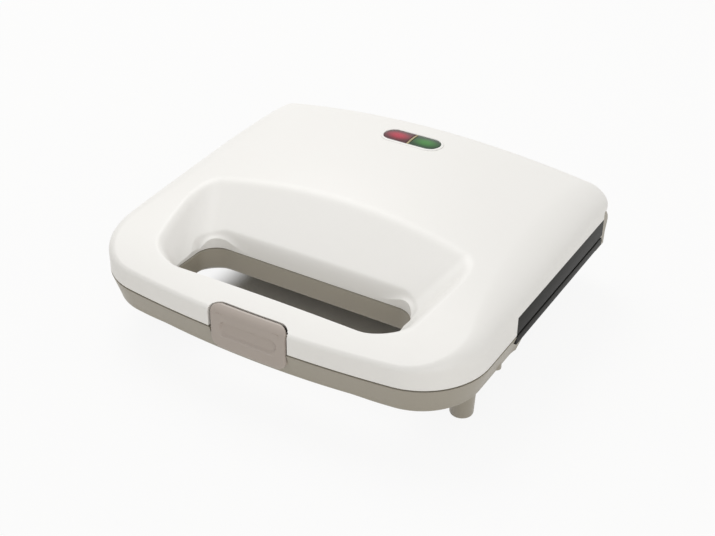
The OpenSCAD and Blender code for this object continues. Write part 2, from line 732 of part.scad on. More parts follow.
// Long rounded outline of the window, grown by g
module pill(g = 0) {
  x = (window_w - window_d) / 2;
  for (s = [-1, 1]) translate([s * x, 0]) circle(window_d / 2 + g);
  translate([-x, -window_d / 2 - g]) square([2 * x, window_d + 2 * g]);
}
module indicator_bezel() {
  color(c_white) translate([0, window_y, window_z - bezel_h + 0.4]) linear_extrude(bezel_h)
    difference() { pill(bezel_t); pill(0); }
}
module lens(side) {
  translate([0, window_y, window_z - bezel_h + 0.6]) linear_extrude(bezel_h)
    intersection() {
      pill(-0.05);
      translate([side > 0 ? 0.65 : -window_w, -window_d]) square([window_w - 0.65, 2 * window_d]);
    }
}
module indicator_lens_red() { color("FireBrick") lens(-1); }
module indicator_lens_green() { color("ForestGreen") lens(1); }
module indicator_light_bar() {
  color("Khaki") translate([-0.6, window_y - window_d / 2 + 0.1, window_z - bezel_h + 0.6])
    cube([1.2, window_d - 0.2, bezel_h]);
}
module lamp_holder() {
  z1 = window_z - bezel_h + 0.3;
  color(c_dark) difference() {
    union() {
      box(-15, 15, window_y - 5.5, window_y + 5.5, z1 - 9, z1);
      box(-window_w / 2 - 1, window_w / 2 + 1, window_y - 4, window_y + 4, z1 - 1.6, z1);
    }
    for (s = [-1, 1]) translate([s * lamp_x, window_y, z1 - lamp_r - lamp_h - 0.9])
      cylinder(r = lamp_r + 0.4, h = 10);
  }
}
module neon_lamps() {
  z1 = window_z - bezel_h + 0.3;
  color("Coral") for (s = [-1, 1]) translate([s * lamp_x, window_y, z1 - lamp_r - lamp_h - 0.8]) {
    cylinder(r = lamp_r, h = lamp_h);
    translate([0, 0, lamp_h]) sphere(lamp_r);
  }
}

// ---------------------------------------------------------------- latch

module latch_pin() { color(c_metal) rod_x(latch_pin_r, 2 * (pocket_hw + latch_rib), latch_y, latch_pin_z); }
module latch_spring() {
  color(c_metal) difference() {
    rod_x(latch_pin_r + 1.1, 12, latch_y, latch_pin_z);
    rod_x(latch_pin_r + 0.2, 14, latch_y, latch_pin_z);
  }
}
module latch() {
  front = -half_d - latch_proud;
  inner = front + 2.7;
  top = lid_top(latch_y) + 1.4;
  corner = 6.5;
  arm_x = latch_w / 2 - 6;
  color(c_beige) difference() {
    union() {
      intersection() {
        along_x(latch_w) polygon([
          [inner, latch_z], [front + 0.8, latch_z], [front, latch_z + 5],
          [front + 0.2, band_z - 1.5], [front + 1.7, band_z + 1.2], [latch_y, top],
          [latch_y, top - 2.2], [inner + 0.4, band_z - 0.6], [inner, band_z - 2.4]]);
        along_y(2 * body_d) {
          for (s = [-1, 1], z = [latch_z + corner, top - corner])
            translate([s * (latch_w / 2 - corner), z]) circle(corner);
          translate([corner - latch_w / 2, latch_z]) square([latch_w - 2 * corner, top - latch_z]);
          translate([-latch_w / 2, latch_z + corner]) square([latch_w, top - latch_z - 2 * corner]);
        }
      }
      for (s = [-1, 1]) translate([s * arm_x, 0, 0]) {
        rod_x(latch_pin_r + 1.3, 4, latch_y, latch_pin_z);
        box(-2, 2, inner - 0.5, latch_y, latch_pin_z - 2.4, latch_pin_z + 2.2);
      }
      box(-hook_w / 2, hook_w / 2, inner - 0.5, pocket_y + 1.8, hook_z, hook_z + hook_h);
      box(-18, 18, front - 0.9, front + 1, latch_z + 9, latch_z + 11.5);
    }
    rod_x(latch_pin_r + run_fit, latch_w + 2, latch_y, latch_pin_z);
  }
}

lower_housing();
lower_handle_cover();
foot_pads();
lower_plate_frame();
lower_plate();
lower_heating_element();
lower_reflector();
lower_frame_screws();
lower_cover_screws();
terminal_block();
thermal_fuse();
cord_clamp();
cord_grommet();
hinge_sleeve_left();
hinge_sleeve_right();
lid_lead();
upper_housing();
upper_handle_cover();
upper_plate_frame();
upper_plate();
upper_heating_element();
upper_reflector();
upper_frame_screws();
upper_cover_screws();
thermostat();
indicator_bezel();
indicator_lens_red();
indicator_lens_green();
indicator_light_bar();
lamp_holder();
neon_lamps();
latch_pin();
latch_spring();
latch();
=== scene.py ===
"""A two-slice sandwich toaster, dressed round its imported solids. Metres, in the CAD's own frame."""
import math

import bmesh
import bpy
import numpy as np
from mathutils import Matrix, Vector


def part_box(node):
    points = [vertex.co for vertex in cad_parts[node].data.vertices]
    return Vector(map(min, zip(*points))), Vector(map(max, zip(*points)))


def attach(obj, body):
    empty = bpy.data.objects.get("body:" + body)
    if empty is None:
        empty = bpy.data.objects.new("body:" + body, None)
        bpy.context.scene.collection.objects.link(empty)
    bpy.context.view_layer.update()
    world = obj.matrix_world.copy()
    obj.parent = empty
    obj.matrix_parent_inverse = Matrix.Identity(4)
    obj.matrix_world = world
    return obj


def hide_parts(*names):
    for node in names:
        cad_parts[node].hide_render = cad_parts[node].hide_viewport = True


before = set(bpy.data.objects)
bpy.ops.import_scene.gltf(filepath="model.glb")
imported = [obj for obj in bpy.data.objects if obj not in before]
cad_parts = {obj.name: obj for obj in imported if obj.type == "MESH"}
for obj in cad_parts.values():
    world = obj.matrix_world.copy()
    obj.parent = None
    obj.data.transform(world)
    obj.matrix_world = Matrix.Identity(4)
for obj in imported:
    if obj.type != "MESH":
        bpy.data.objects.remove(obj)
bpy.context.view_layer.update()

# ---------------------------------------------------------------- upper shell
# The lid is one white ABS moulding about 2.5 mm thick, with a crowned top, an upright front band
# and a deep hand recess that ends in a through slot. Here its outside and its inside are two
# forms on rings that run from the outline to the slot, and one is cut out of the other.
MM = 0.001
WALL = 2.5
HALF_W, HALF_D = 120.0, 108.5
BOW_R, CORNER_R, REAR_R = 643.0, 41.0, 15.0
BOW_Y = BOW_R - HALF_D
CORNER_X = HALF_W - CORNER_R
CORNER_Y = BOW_Y - math.sqrt((BOW_R - CORNER_R) ** 2 - CORNER_X ** 2)
BOW_TURN = math.asin(CORNER_X / (BOW_R - CORNER_R))
SLOT_X, SLOT_Y, SLOT_HALF_D, SLOT_R = 70.0, -67.0, 20.5, 13.0
LID_Z, LIP_Z = 40.4, 46.0
CREST_Y, CREST_Z = 64.1, 83.16


def arc(centre, radius, start, end, count=60):
    """Points of an arc; the angles are in radians from +X."""
    a = np.linspace(start, end, count)
    return np.stack([centre[0] + radius * np.cos(a), centre[1] + radius * np.sin(a)], 1)


def shell_edge(inset=0.0):
    """Right half of both shells' outline, from the front's middle to the back's middle."""
    w, back, r = HALF_W - inset, HALF_D - inset, REAR_R - inset
    quarter = math.pi / 2
    return np.concatenate([
        arc((0, BOW_Y), BOW_R - inset, -quarter, BOW_TURN - quarter),
        arc((CORNER_X, CORNER_Y), CORNER_R - inset, BOW_TURN - quarter, 0)[1:],
        arc((w - r, back - r), r, 0, quarter),
        [[0, back]]])


def slot_edge(grow=0.0):
    """Right half of the slot's outline, from the front's middle to the back's middle."""
    quarter = math.pi / 2
    x, y, r = SLOT_X - SLOT_R, SLOT_HALF_D - SLOT_R, SLOT_R + grow
    return np.concatenate([
        [[0, SLOT_Y - y - r]],
        arc((x, SLOT_Y - y), r, -quarter, 0),
        arc((x, SLOT_Y + y), r, 0, quarter),
        [[0, SLOT_Y + y + r]]])


def walk(path, marks, counts):
    """Points along a path, with so many steps between the path's points nearest to the marks."""
    run = np.concatenate([[0], np.cumsum(np.linalg.norm(np.diff(path, axis=0), axis=1))])
    dense = np.linspace(0, run[-1], 6000)
    fine = np.stack([np.interp(dense, run, path[:, k]) for k in (0, 1)], 1)
    stops = [dense[np.argmin(((fine - m) ** 2).sum(1))] for m in marks]
    s = np.concatenate([np.linspace(a, b, n, endpoint=False)
                        for a, b, n in zip(stops, stops[1:], counts)] + [[stops[-1]]])
    return np.stack([np.interp(s, run, path[:, k]) for k in (0, 1)], 1)


STEPS = (36, 17, 17, 44, 18, 40)
EDGE_MARKS = [(0, -108.5), (84.4, -102.9), (108, -91.3), (120, -62.3), (120, 60), (115.6, 104.1),
              (0, 108.5)]
SLOT_MARKS = [(0, -87.5), (57, -87.5), (66.2, -83.7), (70, -74.5), (70, -59.5), (66.2, -50.3),
              (0, -46.5)]


def whole(half):
    """The full ring from its right half."""
    return np.concatenate([half, (half * (-1, 1))[-2:0:-1]])


def edge_ring(inset=0.0):
    return whole(walk(shell_edge(inset), EDGE_MARKS, STEPS))


def slot_ring(grow=0.0):
    return whole(walk(slot_edge(grow), SLOT_MARKS, STEPS))


def between(outer, inner, rows):
    """Rows of points from one ring to the other, closer together at both ends."""
    t = (np.arange(rows - 1) + 0.5) / (rows - 1)
    v = np.concatenate([[0], np.cumsum(0.1 + np.sin(math.pi * t) ** 0.8)])
    v = (v / v[-1])[:, None, None]
    return outer[None] * (1 - v) + inner[None] * v


def smooth_step(v):
    v = np.clip(v, 0, 1)
    return v * v * (3 - 2 * v)


def table(v, *pairs):
    """Smooth curve through (value, result) pairs."""
    a, b = np.array(pairs, float).T
    k = np.clip(np.searchsorted(a, v) - 1, 0, len(a) - 2)
    slope = np.gradient(b, a)
    h = a[k + 1] - a[k]
    t = np.clip((v - a[k]) / h, 0, 1)
    return ((2 * t ** 3 - 3 * t ** 2 + 1) * b[k] + (t ** 3 - 2 * t ** 2 + t) * h * slope[k]
            + (3 * t ** 2 - 2 * t ** 3) * b[k + 1] + (t ** 3 - t ** 2) * h * slope[k + 1])


def blend(f, g, reach, pick):
    """The lower (pick -1) or higher (pick 1) of two height functions, with a rounded edge that
    reaches so far to either side, in plan."""
    def height(x, y):
        gap = f(x, y) - g(x, y)
        dx = f(x + 0.4, y) - g(x + 0.4, y) - gap
        dy = f(x, y + 0.4) - g(x, y + 0.4) - gap
        k = (reach(x, y) if callable(reach) else reach) * np.hypot(dx, dy) / 0.4 + 1e-3
        h = np.clip(k - np.abs(gap), 0, None) / k
        return (f(x, y) + g(x, y) + pick * np.abs(gap)) / 2 + pick * h * h * k / 4
    return height


def from_edge(x, y):
    """Distance inward from the shells' outline, and the y of the nearest point on it."""
    ax = np.abs(x)
    rho = np.hypot(ax, y - BOW_Y)
    d, near = BOW_R - rho, BOW_Y + BOW_R * (y - BOW_Y) / rho
    corner = np.hypot(ax - CORNER_X, y - CORNER_Y)
    in_corner = (y < CORNER_Y) & ((ax - CORNER_X) > (CORNER_Y - y) * math.tan(BOW_TURN))
    d = np.where(in_corner, CORNER_R - corner, d)
    near = np.where(in_corner, CORNER_Y + CORNER_R * (y - CORNER_Y) / np.maximum(corner, 1e-6),
                    near)
    side = (y >= CORNER_Y) & (HALF_W - ax < np.minimum(d, HALF_D - y))
    d, near = np.where(side, HALF_W - ax, d), np.where(side, y, near)
    back = (y >= CORNER_Y) & (HALF_D - y < d)
    d, near = np.where(back, HALF_D - y, d), np.where(back, HALF_D, near)
    rx, ry = ax - (HALF_W - REAR_R), y - (HALF_D - REAR_R)
    rear = np.hypot(rx, ry)
    in_rear = (rx > 0) & (ry > 0)
    d = np.where(in_rear, REAR_R - rear, d)
    near = np.where(in_rear, HALF_D - REAR_R + REAR_R * ry / np.maximum(rear, 1e-6), near)
    return d, near


def from_slot(x, y):
    """Distance outward from the slot's outline, and which way the nearest part of it faces in y."""
    qx = np.abs(x) - (SLOT_X - SLOT_R)
    qy = np.abs(y - SLOT_Y) - (SLOT_HALF_D - SLOT_R)
    out = np.hypot(np.maximum(qx, 0), np.maximum(qy, 0))
    e = out + np.minimum(np.maximum(qx, qy), 0) - SLOT_R
    facing = np.maximum(qy, 0) / np.maximum(out, 1e-6) * np.sign(y - SLOT_Y)
    return e, facing


def lid_height(thin):
    """Height function of the lid's outside, or of its inside where thin is the wall."""
    def crown(x, y):
        fall = np.where(y < CREST_Y,
                        31.1 * (np.maximum(CREST_Y - y, 0) / (CREST_Y + HALF_D)) ** 2.29,
                        3.5 * (np.maximum(y - CREST_Y, 0) / (HALF_D - CREST_Y)) ** 2)
        return CREST_Z - fall - (3 + 9 * smooth_step((y + HALF_D) / 130)) * (x / HALF_W) ** 2

    def shouldered(x, y):
        d, near = from_edge(x, y)
        d = d - thin
        width = table(near, (-108.5, 1.8), (-103, 2.0), (-96, 3.2), (-86, 5.6), (-75, 8.5),
                      (-60, 12), (-32, 17.5), (0, 21), (30, 22.9), (70, 22), (93, 20),
                      (108.5, 18.3)) - thin * 0.5
        start = table(near, (-108.5, 50.4), (-92, 50.6), (-75, 51.2), (-60, 52), (-45, 53),
                      (-32, 53.8), (0, 56.3), (30, 58.2), (70, 58.4), (108.5, 58.2)) - thin * 0.6
        top = crown(x, y) - thin * 1.04
        t = np.clip(1 - d / width, 0, 1)
        return start + (top - start) * np.sqrt(np.clip(1 - t * t, 0, 1))

    def floor(x, y):
        return 56.2 + 0.655 * (y + 44.6) - 0.6 * (x / SLOT_X) ** 2 - 1.2 * thin

    def lip(x, y):
        e, facing = from_slot(x, y)
        steep = 1.3 + 5 * smooth_step(facing) + 9 * smooth_step(-facing)
        return LIP_Z + 0.5 + steep * e - thin * np.hypot(1, steep)

    def turn(x, y):
        across, along = np.abs(x) - SLOT_X + SLOT_R, SLOT_Y - SLOT_HALF_D + SLOT_R - y
        way = np.arctan2(np.maximum(along, 0), np.maximum(across, 1e-6)) / (math.pi / 2)
        return across, along, smooth_step(way)

    def wall(x, y):
        across, along, s = turn(x, y)
        r = np.where(along > 0, np.hypot(np.maximum(across, 0), along), across)
        steep = 1.2 * 10 ** s
        return LIP_Z + 1.8 - 1.5 * s + steep * (r - SLOT_R) - thin * np.hypot(1, steep)

    ledge = blend(floor, lip, 2.4, -1)
    bowl = blend(ledge, wall, lambda x, y: 9 - 6 * turn(x, y)[2], 1)
    return blend(shouldered, bowl, 3.0, -1)


def ring_solid(rows):
    """Closed mesh through rings of points (mm), each joined to the next, the last to the first."""
    count, n = len(rows), rows[0].shape[0]
    verts = np.concatenate(rows)
    i = np.arange(count)[:, None] * n
    j = np.arange(n)[None]
    up, on = (i + n) % (count * n), (j + 1) % n
    faces = np.stack([i + j, i + on, up + on, up + j], -1).reshape(-1, 4)
    return mesh_from(verts, faces)


def mesh_from(verts, faces):
    """Mesh in metres from points in mm, with its faces outward."""
    mesh = bpy.data.meshes.new("form")
    mesh.from_pydata((np.asarray(verts) * MM).tolist(), [], np.asarray(faces).tolist()
                     if isinstance(faces, np.ndarray) else faces)
    bm = bmesh.new()
    bm.from_mesh(mesh)
    if bm.calc_volume(signed=True) < 0:
        bmesh.ops.reverse_faces(bm, faces=bm.faces)
    bm.to_mesh(mesh)
    bm.free()
    return mesh


def flat_ring(ring, z):
    return np.concatenate([ring, np.full((len(ring), 1), float(z))], 1)


def lid_form(thin, low, rows=120):
    """Solid under the lid's height function, down to z = low."""
    outer, inner = edge_ring(thin), slot_ring(thin)
    plan = between(outer, inner, rows)
    height = lid_height(thin)(plan[..., 0], plan[..., 1])
    top = np.concatenate([plan, height[..., None]], -1)
    wall = [np.concatenate([outer, (low + (height[0] - low) * t)[:, None]], 1)
            for t in (0, 0.3, 0.6, 0.85)]
    return ring_solid(wall + list(top) + [flat_ring(inner, LIP_Z - thin), flat_ring(inner, low)])


def solid_box(x0, x1, y0, y1, z0, z1):
    verts = [(x, y, z) for x in (x0, x1) for y in (y0, y1) for z in (z0, z1)]
    return mesh_from(np.array(verts), [(0, 1, 3, 2), (4, 6, 7, 5), (0, 4, 5, 1), (2, 3, 7, 6),
                                       (0, 2, 6, 4), (1, 5, 7, 3)])


def stacked(rings):
    """Closed mesh through a stack of rings of points (mm), with a face over the first and last."""
    n, last = len(rings[0]), (len(rings) - 1) * len(rings[0])
    faces = [(k + i, k + (i + 1) % n, k + n + (i + 1) % n, k + n + i)
             for k in range(0, last, n) for i in range(n)]
    ends = [tuple(range(n))[::-1], tuple(range(last, last + n))]
    return mesh_from(np.concatenate(rings), faces + ends)


def prism(outline, z0, z1):
    """Upright prism over a closed outline in plan."""
    return stacked([flat_ring(outline, z0), flat_ring(outline, z1)])


def turned(profile, centre, axis="Z", count=64):
    """Solid of revolution about a line parallel to an axis; the profile is (radius, along), mm."""
    a = np.arange(count) * 2 * math.pi / count
    order = {"X": (2, 0, 1), "Y": (1, 2, 0), "Z": (0, 1, 2)}[axis]
    return stacked([np.stack([max(r, 0.01) * np.cos(a), max(r, 0.01) * np.sin(a),
                              np.full(count, h)], 1)[:, order] + centre for r, h in profile])


def cut_and_joined(first, *steps):
    """First mesh with others cut out of it ("-") or joined to it ("+"), in turn."""
    made = bpy.data.objects.new("made", first)
    bpy.context.scene.collection.objects.link(made)
    for sign, mesh in steps:
        tool = bpy.data.objects.new("tool", mesh)
        bpy.context.scene.collection.objects.link(tool)
        change = made.modifiers.new("cut", "BOOLEAN")
        change.operation = "DIFFERENCE" if sign == "-" else "UNION"
        change.solver = "MANIFOLD"
        change.object = tool
        done = bpy.data.meshes.new_from_object(
            made.evaluated_get(bpy.context.evaluated_depsgraph_get()))
        made.modifiers.clear()
        made.data = done
        bpy.data.objects.remove(tool)
    done = made.data
    bpy.data.objects.remove(made)
    return done


def linear(code):
    """Linear colour from an sRGB hex code."""
    parts = [int(code[k:k + 2], 16) / 255 for k in (1, 3, 5)]
    return [c / 12.92 if c <= 0.04045 else ((c + 0.055) / 1.055) ** 2.4 for c in parts] + [1.0]


def add(tree, kind, feeds=(), **settings):
    """A node of a kind in the tree, with its settings, and its inputs set or linked."""
    node = tree.nodes.new(kind if "Node" in kind else "ShaderNode" + kind)
    for key, value in settings.items():
        setattr(node, key, value)
    for key, value in dict(feeds).items():
        if isinstance(value, bpy.types.NodeSocket):
            tree.links.new(value, node.inputs[key])
        else:
            node.inputs[key].default_value = value
    return node


def empty(name):
    """A new material, its empty tree, and the object coordinates in that."""
    made = bpy.data.materials.new(name)
    made.use_nodes = True
    made.node_tree.nodes.clear()
    return made, made.node_tree, add(made.node_tree, "TexCoord").outputs["Object"]


def moulded(name, colour, other, patch, rough, grain, deep, **shader):
    """Injection-moulded plastic: two near colours in patches (mm), roughness between two values,
    and a skin whose grain (mm) stands so deep (mm)."""
    made, tree, place = empty(name)
    broad = add(tree, "TexNoise", {"Vector": place, "Scale": 1000 / patch, "Detail": 3.0})
    fine = add(tree, "TexNoise", {"Vector": place, "Scale": 1000 / grain, "Detail": 2.0})
    tint = add(tree, "Mix", {0: broad.outputs[0], 6: linear(colour), 7: linear(other)},
               data_type="RGBA")
    gloss = add(tree, "MapRange",
                {"Value": fine.outputs[0], "To Min": rough[0], "To Max": rough[1]})
    skin = add(tree, "Bump", {"Height": fine.outputs[0], "Distance": deep * MM, "Strength": 1.0})
    body = add(tree, "BsdfPrincipled", {"Base Color": tint.outputs[2], "Normal": skin.outputs[0],
                                        "Roughness": gloss.outputs[0], **shader})
    add(tree, "OutputMaterial", {"Surface": body.outputs[0]})
    return made


# White ABS from a polished mould: an even warm white and a soft gloss with a faint waviness.
white_abs = moulded("white_abs_polished_mould", "#F4F2EE", "#F2F0EB", 60, (0.38, 0.46), 7, 0.02,
                    **{"IOR": 1.52})


def finished(name, mesh, body, stuff, nodes=(), sharp=28.0):
    """The piece as an object on its body, smooth except where its faces meet sharply."""
    bm = bmesh.new()
    bm.from_mesh(mesh)
    bmesh.ops.remove_doubles(bm, verts=bm.verts, dist=2e-6)
    bmesh.ops.dissolve_degenerate(bm, edges=bm.edges, dist=1e-6)
    for face in bm.faces:
        face.smooth = True
    for edge in bm.edges:
        edge.smooth = len(edge.link_faces) == 2 and edge.calc_face_angle(0) < math.radians(sharp)
    bm.to_mesh(mesh)
    bm.free()
    mesh.name = name
    mesh.materials.clear()
    mesh.materials.append(stuff)
    piece = bpy.data.objects.new(name, mesh)
    bpy.context.scene.collection.objects.link(piece)
    if nodes:
        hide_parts(*nodes)
    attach(piece, body)
    return piece


HINGE_Y, HINGE_Z, BARREL_R, BARREL_X = 99.0, 44.0, 9.5, 103.2
SLEEVE_R, KNUCKLE = 4.05, 88.2
SIDE_Y0, SIDE_Y1, SIDE_TOP = -29.5, 92.5, 52.0


def both(x0, x1, *rest):
    """The same box at both sides, as two meshes."""
    return [solid_box(x0, x1, *rest), solid_box(-x1, -x0, *rest)]


def rod(radius, half, y, z, soft=0.0):
    """Round bar along X about the middle, its ends softened by so many millimetres."""
    return turned([(radius - soft, -half), (radius, soft - half), (radius, half - soft),
                   (radius - soft, half)], (0, y, z), "X")


LATCH_Y, PIN_Z, PIN_R, POCKET_X = -104.5, 48.7, 1.5, 24.9
WINDOW = (0.0, 69.7)
WINDOW_Z = CREST_Z - 3.5 * ((WINDOW[1] - CREST_Y) / (HALF_D - CREST_Y)) ** 2
BEZEL, OVAL_R, OVAL_X, PILL_STEPS = 1.7, 7.1, 12.1, 40
LATCH_LOW, LATCH_HALF = 28.2, 14.6


def pill(grow, count=PILL_STEPS):
    """Outline of the indicator window, grown by so many millimetres."""
    r, x = OVAL_R + grow, OVAL_X
    ends = np.concatenate([arc((x, 0), r, -math.pi / 2, math.pi / 2, count),
                           arc((-x, 0), r, math.pi / 2, 1.5 * math.pi, count)])
    return ends + WINDOW


def latch_curve():
    """The latch's outer face in (y, z), from its lower edge over the lid's front edge."""
    return np.array([(-108.1, 28.2), (-108.35, 29.6), (-108.55, 32), (-108.6, 35), (-108.6, 40),
                     (-108.6, 45), (-108.6, 48), (-108.5, 50), (-108.15, 51.6), (-107.45, 52.9),
                     (-106.4, 53.95), (-105.1, 54.7), (-103.65, 55.2)])


def latch_plate(grow, lift, back, rings, turns, shape=None):
    """Slab that follows the latch's curve: its outline grown, its outer and inner faces set off."""
    curve = latch_curve()
    run = np.concatenate([[0], np.cumsum(np.linalg.norm(np.diff(curve, axis=0), axis=1))])
    half_x, half_u, r = 24.2 + grow, run[-1] / 2 + grow, 6.5 + grow
    a = (np.arange(turns) + 0.5) * 2 * math.pi / turns
    square = np.maximum(np.abs(np.cos(a)) / half_x, np.abs(np.sin(a)) / half_u)
    rim = np.stack([np.cos(a), np.sin(a)], 1) / square[:, None]
    corner = np.array([half_x - r, half_u - r])
    off = np.abs(rim) - corner
    out = (off > 0).all(1)
    for _ in range(12):
        gap = np.hypot(*(np.maximum(np.abs(rim) - corner, 0)).T) - r
        rim[out] *= (1 - np.clip(gap[out], 0, None) / np.hypot(*rim[out].T))[:, None]
    rows = []

    def place(flat, offset):
        u = flat[:, 1] + run[-1] / 2
        y, z = (np.interp(u, run, curve[:, k]) for k in (0, 1))
        first, last = curve[1] - curve[0], curve[-1] - curve[-2]
        for far, start, way in ((np.minimum(u, 0), curve[0], first / np.linalg.norm(first)),
                                (np.maximum(u - run[-1], 0), curve[-1],
                                 last / np.linalg.norm(last))):
            y, z = y + far * way[0], z + far * way[1]
        lean = np.arctan2(*np.array([np.interp(u, (run[1:] + run[:-1]) / 2,
                                               np.gradient(curve[:, k])[1:]) for k in (1, 0)]))
        n = np.stack([-np.sin(lean), np.cos(lean)], 1)
        n *= np.sign(-n[:, :1] + n[:, 1:] * 0.5 + 1e-9)
        bow = flat[:, 0] ** 2 / (2 * BOW_R)
        return np.stack([flat[:, 0], y + bow + n[:, 0] * offset, z + n[:, 1] * offset], 1)

    for s in np.concatenate([np.linspace(0.03, 0.86, rings), np.linspace(0.88, 1, 14)]):
        flat = rim * s
        q = np.abs(flat) - corner
        sd = np.hypot(*np.maximum(q, 0).T) + np.minimum(q.max(1), 0) - r
        rise = shape(flat, -sd) if shape else 0
        rows.append(place(flat, lift + rise))
    for s, depth in ((1, back + 0.4), (0.985, back), (0.6, back), (0.03, back)):
        rows.append(place(rim * s, depth))
    return stacked(rows)


hollow_barrel = cut_and_joined(
    rod(BARREL_R, BARREL_X, HINGE_Y, HINGE_Z, 0.6),
    ("-", rod(BARREL_R - WALL, KNUCKLE, HINGE_Y, HINGE_Z)),
    ("-", solid_box(-KNUCKLE, KNUCKLE, HINGE_Y - BARREL_R - 1, HINGE_Y, HINGE_Z, 70)),
    ("-", solid_box(-KNUCKLE, KNUCKLE, HINGE_Y - 1, HINGE_Y + BARREL_R - WALL, HINGE_Z, 70)))
upper = cut_and_joined(
    lid_form(0.0, LID_Z + 0.1), ("-", lid_form(WALL, LID_Z - 2)),
    ("-", prism(slot_ring(WALL + 0.3), LID_Z - 1, LIP_Z)),
    ("-", solid_box(-121, 121, HINGE_Y, 110, 39, HINGE_Z)),
    ("+", hollow_barrel),
    *[("-", m) for m in both(117, 121, SIDE_Y0, SIDE_Y1, 39, SIDE_TOP)],
    *[("-", m) for m in both(BARREL_X, 121, SIDE_Y1 - 0.6, 110, 39, 57)],
    ("-", rod(SLEEVE_R, 105, HINGE_Y, HINGE_Z)),
    ("-", latch_plate(1.25, 4, -6.5, 6, 96)),
    ("-", prism(pill(BEZEL + 0.05), 76, 90)))
finished("upper_shell", upper, "lid", white_abs, ["upper_housing"])

# ---------------------------------------------------------------- lower shell
# The base is one beige ABS moulding. Its front hangs down as a drafted skirt under the handle, a
# collar lines the slot, and behind that the wall turns in to a belly that stands off the table.
BASE_Z, SKIRT_Z, BELLY_Z, UNDER_Z, BELLY_X = 39.6, 22.6, 10.0, 32.6, 97.0
COLLAR, COLLAR_Z = 2.2, 45.2
DRAFT = 4.4 / 17
FOOT_X, FOOT_Y, REAR_FOOT_X, REAR_FOOT_Y = 103.0, -56.5, 84.0, 84.5
GROMMET, LEAD_X = (60, 105, 22), -112


def drawn_in(y):
    """Draft of the wall, per millimetre of height: full under the handle, none behind it."""
    return DRAFT * smooth_step((-6 - y) / 20)


def shell_under(thin):
    """Height function of the lower shell's underside, or of its floor where thin is the wall."""
    def handle(x, y):
        lift = UNDER_Z - SKIRT_Z - 0.72 * from_slot(x, y)[0]
        return (SKIRT_Z + thin + 3.5 * np.maximum(y + 20, 0)
                + (lift + np.sqrt(lift * lift + 3)) / 2)

    def side(x, y):
        return BELLY_Z + 1.022 * (np.abs(x) - BELLY_X) + 1.4 * thin

    def slope(x, y):
        return UNDER_Z - 0.8 * (y + 46.5) + 1.15 * thin

    def rear(x, y):
        return BELLY_Z + 0.75 * (y - 96.5) + 1.2 * thin

    def flat(x, y):
        return BELLY_Z + thin + 0 * x

    belly = blend(blend(blend(side, slope, 3, 1), rear, 3, 1), flat, 4, 1)
    under = blend(handle, belly, 2.5, -1)

    def rounded(x, y):
        low = under(x, y)
        d, near = from_edge(x, y)
        d = d - thin - drawn_in(near) * (BASE_Z - low)
        e = from_slot(x, y)[0] - (2.6 if thin else 0)
        for gap, r in ((d, 2.6 - 0.5 * thin), (e, 1.2)):
            low = low + r * (1 - np.sqrt(1 - np.clip(1 - gap / r, 0, 1) ** 2))
        return low
    return under, rounded


def base_form(thin, top, rows=110):
    """Solid of the lower shell's form down to its underside, with the slot left open."""
    outer, inmost = edge_ring(thin), edge_ring(thin + 4.4)
    draft = drawn_in(outer[:, 1])
    under, rounded = shell_under(thin)

    def at(z):
        return outer + (inmost - outer) * (np.clip(draft * (BASE_Z - z), 0, 9) / 4.4)[:, None]
    foot = outer
    for _ in range(3):
        foot = at(under(foot[:, 0], foot[:, 1]))
    inner = slot_ring(2.6 if thin else 0.0)
    plan = between(foot, inner, rows)
    height = rounded(plan[..., 0], plan[..., 1])
    low = height[0]
    wall = []
    if not thin:
        wall.append(flat_ring(edge_ring(0.2), top))
        top -= 0.2
    for t in (0, 0.25, 0.5, 0.75):
        wall.append(np.concatenate([outer + (foot - outer) * t, (top + (low - top) * t)[:, None]],
                                   1))
    under_rows = list(np.concatenate([plan, height[..., None]], -1))
    if thin:
        return ring_solid(wall + under_rows + [flat_ring(inner, top)])
    return ring_solid(wall + under_rows + [
        flat_ring(inner, COLLAR_Z - 0.5), flat_ring(slot_ring(0.5), COLLAR_Z),
        flat_ring(slot_ring(COLLAR - 0.5), COLLAR_Z), flat_ring(slot_ring(COLLAR), COLLAR_Z - 0.5),
        flat_ring(slot_ring(COLLAR), BASE_Z)])


def standing(x, y, radius, z0, z1):
    """Round posts at both sides."""
    return [turned([(radius, z0), (radius, z1)], (s * x, y, 0), "Z", 32) for s in (-1, 1)]


def foot(x, y, radius, low, top, flare):
    """Tapered foot with a rounded tip, a seat for its pad and a fillet up to the shell."""
    return [turned([(4.0, 2.0), (5.05, 2.0), (5.05, 0.6), (radius - 0.7, 0.6), (radius - 0.2, 0.8),
                    (radius + 0.05, 1.4), (radius + flare * 0.75, low - 4.5),
                    (radius + flare + 0.3, low - 1.9), (radius + flare + 1.3, low - 0.4),
                    (radius + flare + 2.2, low + 0.4), (radius + flare + 2.2, top)],
                   (s * x, y, 0), "Z", 72) for s in (-1, 1)]


def ear(x0, x1):
    """Ear that carries a hinge sleeve: a round head on a broad root, its edges softened."""
    head = arc((HINGE_Y, HINGE_Z), 9.0, 0, math.pi, 40)
    side = np.concatenate([head, [(92.8, HINGE_Z - 3), (92.8, 28), (104.9, 28), (105.5, 36)]])
    middle = np.array([HINGE_Y, HINGE_Z - 6])
    rows = [np.concatenate([np.full((len(side), 1), x), middle + (side - middle) * k], 1)
            for x, k in ((x0, 0.94), (x0 + 0.7, 1), (x1 - 0.7, 1), (x1, 0.94))]
    return stacked(rows)


floor_height = shell_under(0.0)[0]


def boss(x, y, top):
    """Round bosses at both sides, from inside the wall below them up to their top."""
    low = float(floor_height(np.array([x]), np.array([y]))[0]) + 1.0
    return standing(x, y, 3.2, low, top)


